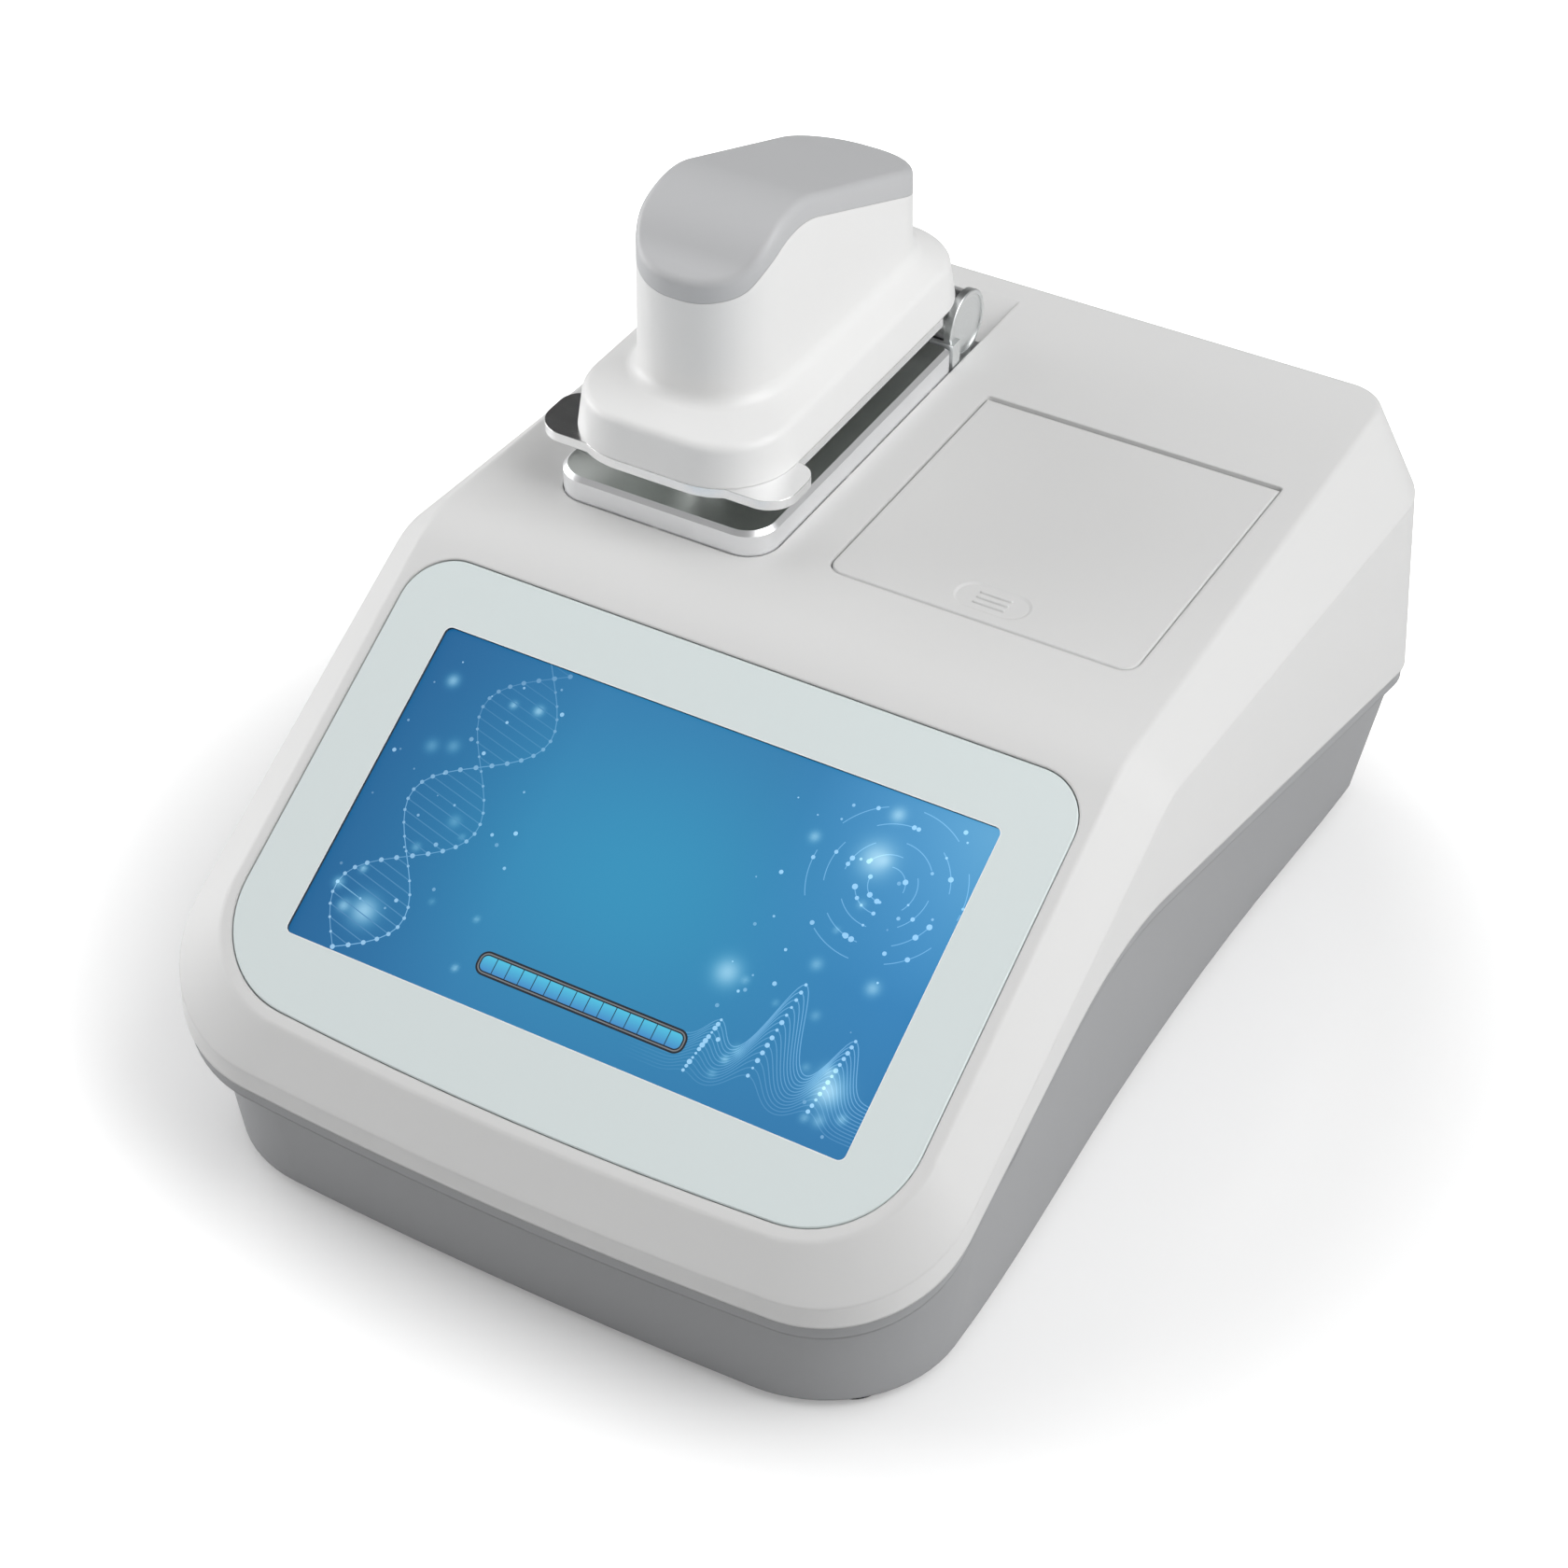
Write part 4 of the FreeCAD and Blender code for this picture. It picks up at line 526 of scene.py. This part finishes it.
for k, (inset, colour) in enumerate(RIMS):
    rim = pill(BAR_X, BAR_Y, BAR_R, inset)
    filled(f"bar_rim_{k}", rim, PICTURE_LIFT + (4 + k) * STEP_LIFT, colour, colour)
filled("bar_fill", pill(BAR_X, BAR_Y, BAR_R, FILL_INSET), PICTURE_LIFT + 7 * STEP_LIFT, FILL_LOW, FILL_HIGH)
split = np.linspace(BAR_X[0] + FILL_INSET, BAR_X[1] - FILL_INSET, BAR_CELLS + 1)[1:-1]
x = (split[:, None] + DIVIDER_HALF * np.array([-1, 1, 1, -1])).ravel()
low, high = BAR_Y[0] + FILL_INSET, BAR_Y[1] - FILL_INSET
y = np.tile([low, low, high, high], len(split))
lit_piece("bar_dividers", x, y, PICTURE_LIFT + 8 * STEP_LIFT, np.arange(len(x)).reshape(-1, 4),
          np.tile(light(DIVIDER_COLOUR), (len(x), 1)))

# Reveal of the window: the edge of the print, a wall down to the picture, dark as painted shade, and a thin
# ring round it, bright as a painted highlight. Both are bands between two outlines of the window.
REVEAL_TOP = -0.00002
LIP_W = 0.0003
LIP_LIFT = 0.00001


def band_faces(count, first=0):
    """Quads between two closed rows of count points each, the first row starting at first."""
    k = np.arange(count)
    after = np.roll(k, -1)
    return first + np.stack([k, after, count + after, count + k], 1)


window_x, window_y = (-WINDOW_W / 2, WINDOW_W / 2), (-WINDOW_H / 2, WINDOW_H / 2)
window_edge = pill(window_x, window_y, WINDOW_R)
lip_edge = pill(window_x, window_y, WINDOW_R, -LIP_W)
wall = np.concatenate([on_slope(*window_edge, REVEAL_TOP), on_slope(*window_edge, PICTURE_LIFT - STEP_LIFT)])
reveal = mesh_piece("window_reveal", wall, band_faces(len(wall) // 2))
# The wall's dark colour is painted shade: the thin shadow line along the window's edge.
reveal.data.materials.append(moulded_plastic("reveal_painted_shade", (0.035, 0.05, 0.06), 0.5))
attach(reveal, "body_main")
# The ring's bright colour is a painted highlight along the window's edge.
lip_points = np.concatenate([on_slope(*lip_edge, LIP_LIFT), on_slope(*window_edge, LIP_LIFT)])
lip = mesh_piece("window_highlight_lip", lip_points, band_faces(len(lip_points) // 2))
lip.data.materials.append(moulded_plastic("lip_painted_highlight", (0.86, 0.89, 0.89), 0.25, 0.0))
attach(lip, "body_main")

# Behind the display: its black back panel, and a folded steel bracket that holds it to the housing on four
# ears. A small driver board with a green coat lies on the bracket.
dress(["display_module"], moulded_plastic("display_back", (0.03, 0.03, 0.035), 0.4))
dress(["display_bracket"], bare_metal("bracket_steel", (0.6, 0.6, 0.6), 0.3, (8.0, 90.0, 90.0)))


def circuit_board(name, mask_colour):
    """Coated board: fine copper tracks under the coat as a brick pattern of lines, with bright pads."""
    material, tree, out = new_material(name)
    place = add(tree, "TexCoord")
    bare, dark, bright = [shade(mask_colour, factor) for factor in (1.0, 0.8, 1.7)]
    coat = {"Color1": bare, "Color2": dark, "Mortar": bright}
    tracks = add(tree, "TexBrick", {"Scale": 90.0, "Mortar Size": 0.05, **coat})
    pads = add(tree, "TexVoronoi", {"Scale": 260.0})
    pad = add(tree, "Math", {1: 0.16}, operation="LESS_THAN")
    tone = add(tree, "MixRGB", {"Color2": (0.6, 0.58, 0.5, 1)})
    surface = add(tree, "BsdfPrincipled", {"Roughness": 0.35})
    wire(tree,
         (place, "Object", tracks, "Vector"),
         (place, "Object", pads, "Vector"),
         (pads, "Distance", pad, 0),
         (tracks, "Color", tone, "Color1"),
         (pad, "Value", tone, "Fac"),
         (tone, "Color", surface, "Base Color"),
         (surface, "BSDF", out, "Surface"))
    return material


board_green = circuit_board("board_green", (0.02, 0.13, 0.06))
dress(["display_driver"], board_green)

# Optical bench: a milled aluminium plate that hangs under the top on four bosses and carries the optics, a
# black spectrometer box and a finned lamp housing.
aluminium = bare_metal("bench_aluminium", (0.68, 0.69, 0.7), 0.35, (6.0, 80.0, 80.0))
dress(["optical_bench", "lamp_module"], aluminium)
dress(["bench_screws"], steel)
dress(["spectrometer_module"], moulded_plastic("module_black", (0.02, 0.02, 0.02), 0.4))

# Pedestal block: a thick aluminium block with blasted sides, a bright turned chamfer and a polished top,
# which stands a little above the housing. A steel ferrule in it holds the lower light fibre.
TOP_TILT = math.radians(3.5)
BLOCK_TOP = 0.007
BLOCK_CHAMFER = 0.0012
CHAMFER_SLACK = 0.0003
# The top's colour, a little darker and greener than the sides', is painted reflection: the olive tint it
# mirrors.
SIDE_COLOUR, TOP_COLOUR = (0.93, 0.935, 0.945), (0.86, 0.90, 0.87)
SIDE_ROUGH, CHAMFER_ROUGH, TOP_ROUGH = 0.42, 0.34, 0.30
CHAMFER_FROM, TOP_FROM = 0.12, 0.97


def steps(tree, stops):
    """Ramp of plain steps: each colour holds up to the next one's place. A new ramp has two stops already."""
    node = add(tree, "ValToRGB")
    node.color_ramp.interpolation = "CONSTANT"
    for k, (at, colour) in enumerate(stops):
        stop = node.color_ramp.elements[k] if k < 2 else node.color_ramp.elements.new(at)
        stop.position = at
        stop.color = (*colour, 1)
    return node


def machined_block(name):
    """Aluminium in three finishes by height over the top: blasted side, bright chamfer, polished top.

    The top's darker, greener colour is painted reflection.
    """
    material, tree, out = new_material(name)
    place = add(tree, "TexCoord")
    from_ridge = add(tree, "VectorMath", {1: RIDGE}, operation="SUBTRACT")
    up_block = (0, -math.sin(TOP_TILT), math.cos(TOP_TILT))
    height = add(tree, "VectorMath", {1: up_block}, operation="DOT_PRODUCT")
    bottom = BLOCK_TOP - BLOCK_CHAMFER - CHAMFER_SLACK
    band = add(tree, "MapRange", {"From Min": bottom, "From Max": BLOCK_TOP})
    finishes = ((0.0, SIDE_ROUGH), (CHAMFER_FROM, CHAMFER_ROUGH), (TOP_FROM, TOP_ROUGH))
    sheen = steps(tree, [(at, (rough,) * 3) for at, rough in finishes])
    tone = steps(tree, [(0.0, SIDE_COLOUR), (TOP_FROM, TOP_COLOUR)])
    blast = add(tree, "TexNoise", {"Scale": 2200.0})
    relief = add(tree, "Bump", {"Strength": 0.12, "Distance": 0.0001})
    surface = add(tree, "BsdfPrincipled", {"Metallic": 1.0})
    wire(tree,
         (place, "Object", from_ridge, 0),
         (from_ridge, "Vector", height, 0),
         (height, "Value", band, "Value"),
         (band, "Result", sheen, "Fac"),
         (band, "Result", tone, "Fac"),
         (tone, "Color", surface, "Base Color"),
         (sheen, "Color", surface, "Roughness"),
         (place, "Object", blast, "Vector"),
         (blast, "Fac", relief, "Height"),
         (relief, "Normal", surface, "Normal"),
         (surface, "BSDF", out, "Surface"))
    return material


dress(["pedestal_block"], machined_block("block_aluminium"))
ferrule = bare_metal("ferrule_steel", (0.62, 0.62, 0.62), 0.18)
dress(["lower_pedestal", "upper_pedestal"], ferrule)
dress(["lower_fibre", "upper_fibre"], moulded_plastic("fibre_glass", (0.7, 0.75, 0.78), 0.1))

# Hinge of the arm: a steel saddle behind the block with two thin spun discs as cheeks. A ground pin runs
# through the cheeks, and the flap and the power switch turn on pins of the same steel.
HINGE_AT = (0.0, 0.096752, 0.143774)


def spun_metal(name, colour, rough):
    """Spun disc: rings in tone, sheen and relief, from noise of the distance to the hinge line."""
    material, tree, out = new_material(name)
    place = add(tree, "TexCoord")
    from_pin = add(tree, "VectorMath", {1: HINGE_AT}, operation="SUBTRACT")
    flat = add(tree, "VectorMath", {1: (0, 1, 1)}, operation="MULTIPLY")
    radius = add(tree, "VectorMath", operation="LENGTH")
    rings = add(tree, "TexNoise", {"Scale": 1800.0, "Detail": 3.0}, noise_dimensions="1D")
    sheen = add(tree, "MapRange", {"To Min": rough - 0.1, "To Max": rough + 0.12})
    tone = add(tree, "MixRGB", {"Color1": shade(colour, 0.86), "Color2": shade(colour, 1.0)})
    relief = add(tree, "Bump", {"Strength": 0.25, "Distance": 0.0001})
    surface = add(tree, "BsdfPrincipled", {"Metallic": 1.0})
    wire(tree,
         (place, "Object", from_pin, 0),
         (from_pin, "Vector", flat, 0),
         (flat, "Vector", radius, 0),
         (radius, "Value", rings, "W"),
         (rings, "Fac", sheen, "Value"),
         (rings, "Fac", tone, "Fac"),
         (rings, "Fac", relief, "Height"),
         (tone, "Color", surface, "Base Color"),
         (sheen, "Result", surface, "Roughness"),
         (relief, "Normal", surface, "Normal"),
         (surface, "BSDF", out, "Surface"))
    return material


dress(["hinge_bracket"], spun_metal("hinge_steel", (0.88, 0.90, 0.90), 0.36))
dress(["hinge_pin", "lid_pin", "switch_pin"], ferrule)

# Arm plate: bright rolled steel with two thumb ears in front and the knuckle of the hinge behind. It carries
# the upper pedestal in a black plastic carrier.
dress(["arm_plate"], bare_metal("plate_steel", (0.96, 0.965, 0.97), 0.22, (10.0, 70.0, 70.0)))
dress(["pedestal_carrier"], moulded_plastic("carrier_plastic", (0.02, 0.02, 0.022), 0.35))

# Arm cover: a white moulding with a skirt, a shoulder and a tall tower, and a soft grey cap that follows
# the S-shaped joint on its top.
dress(["arm_housing"], moulded_plastic("arm_white", (0.84, 0.84, 0.835), 0.36, 0.02, 0.0006))
dress(["arm_cap"], moulded_plastic("cap_grey", (0.535, 0.54, 0.55), 0.42, 0.02, 0.0005))

# Cuvette holder: a black block under the flap with a square well for the cuvette, drilled across for the
# light. It hangs in an opening of the optical bench by its flange.
dress(["cuvette_holder"], moulded_plastic("holder_black", (0.02, 0.02, 0.02), 0.45))

# Boards in the base: a green main board that lies on standoffs and a small socket board behind the back wall.
# Each is held by four steel screws.
dress(["main_board", "io_board"], board_green)
dress(["board_screws", "io_screws"], steel)

# Back of the base: a black power jack and plated data sockets in the openings of the wall, and a black rocker
# switch that turns in its own bezel.
dress(["usb_host_ports", "usb_device_port"], bare_metal("port_steel", (0.6, 0.6, 0.6), 0.3))
switch_black = moulded_plastic("switch_black", (0.02, 0.02, 0.022), 0.35)
dress(["power_jack", "switch_bezel", "switch_rocker"], switch_black)

# Marks of the rocker, printed white: a stroke on the upper half and a ring on the lower half. Each lies just
# off its half of the face, which leans out with height.
ROCKER_X = 0.072
BASE_REAR_Y = 0.153
MARK_LIFT = 0.00003
STROKE_Z, STROKE_Y, STROKE_LEAN = 0.0355, 0.00142, 0.179
STROKE_HALF_W, STROKE_HALF_H = 0.00025, 0.0014
RING_Z, RING_Y, RING_LEAN = 0.0285, 0.00045, 0.0877
MARK_RADII = (0.0012, 0.0017)
MARK_SIDES = 24
stroke_x = ROCKER_X + STROKE_HALF_W * np.array([1, -1, -1, 1])
stroke_z = STROKE_HALF_H * np.array([-1, -1, 1, 1])
stroke_y = BASE_REAR_Y + STROKE_Y + MARK_LIFT + STROKE_LEAN * stroke_z
stroke = np.stack([stroke_x, stroke_y, STROKE_Z + stroke_z], 1)
turn = np.linspace(0, 2 * math.pi, MARK_SIDES, endpoint=False)
ring_points = []
for radius in MARK_RADII:
    ring_z = radius * np.sin(turn)
    ring_y = BASE_REAR_Y + RING_Y + MARK_LIFT + RING_LEAN * ring_z
    ring_points.append(np.stack([ROCKER_X - radius * np.cos(turn), ring_y, RING_Z + ring_z], 1))
ring_faces = band_faces(MARK_SIDES, len(stroke))[:, ::-1]
mark_points = np.concatenate([stroke, *ring_points])
mark = mesh_piece("rocker_marks", mark_points, [[0, 1, 2, 3], *ring_faces.tolist()], False)
mark.data.materials.append(moulded_plastic("mark_white", (0.8, 0.8, 0.8), 0.5, 0.0))
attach(mark, "rocker")
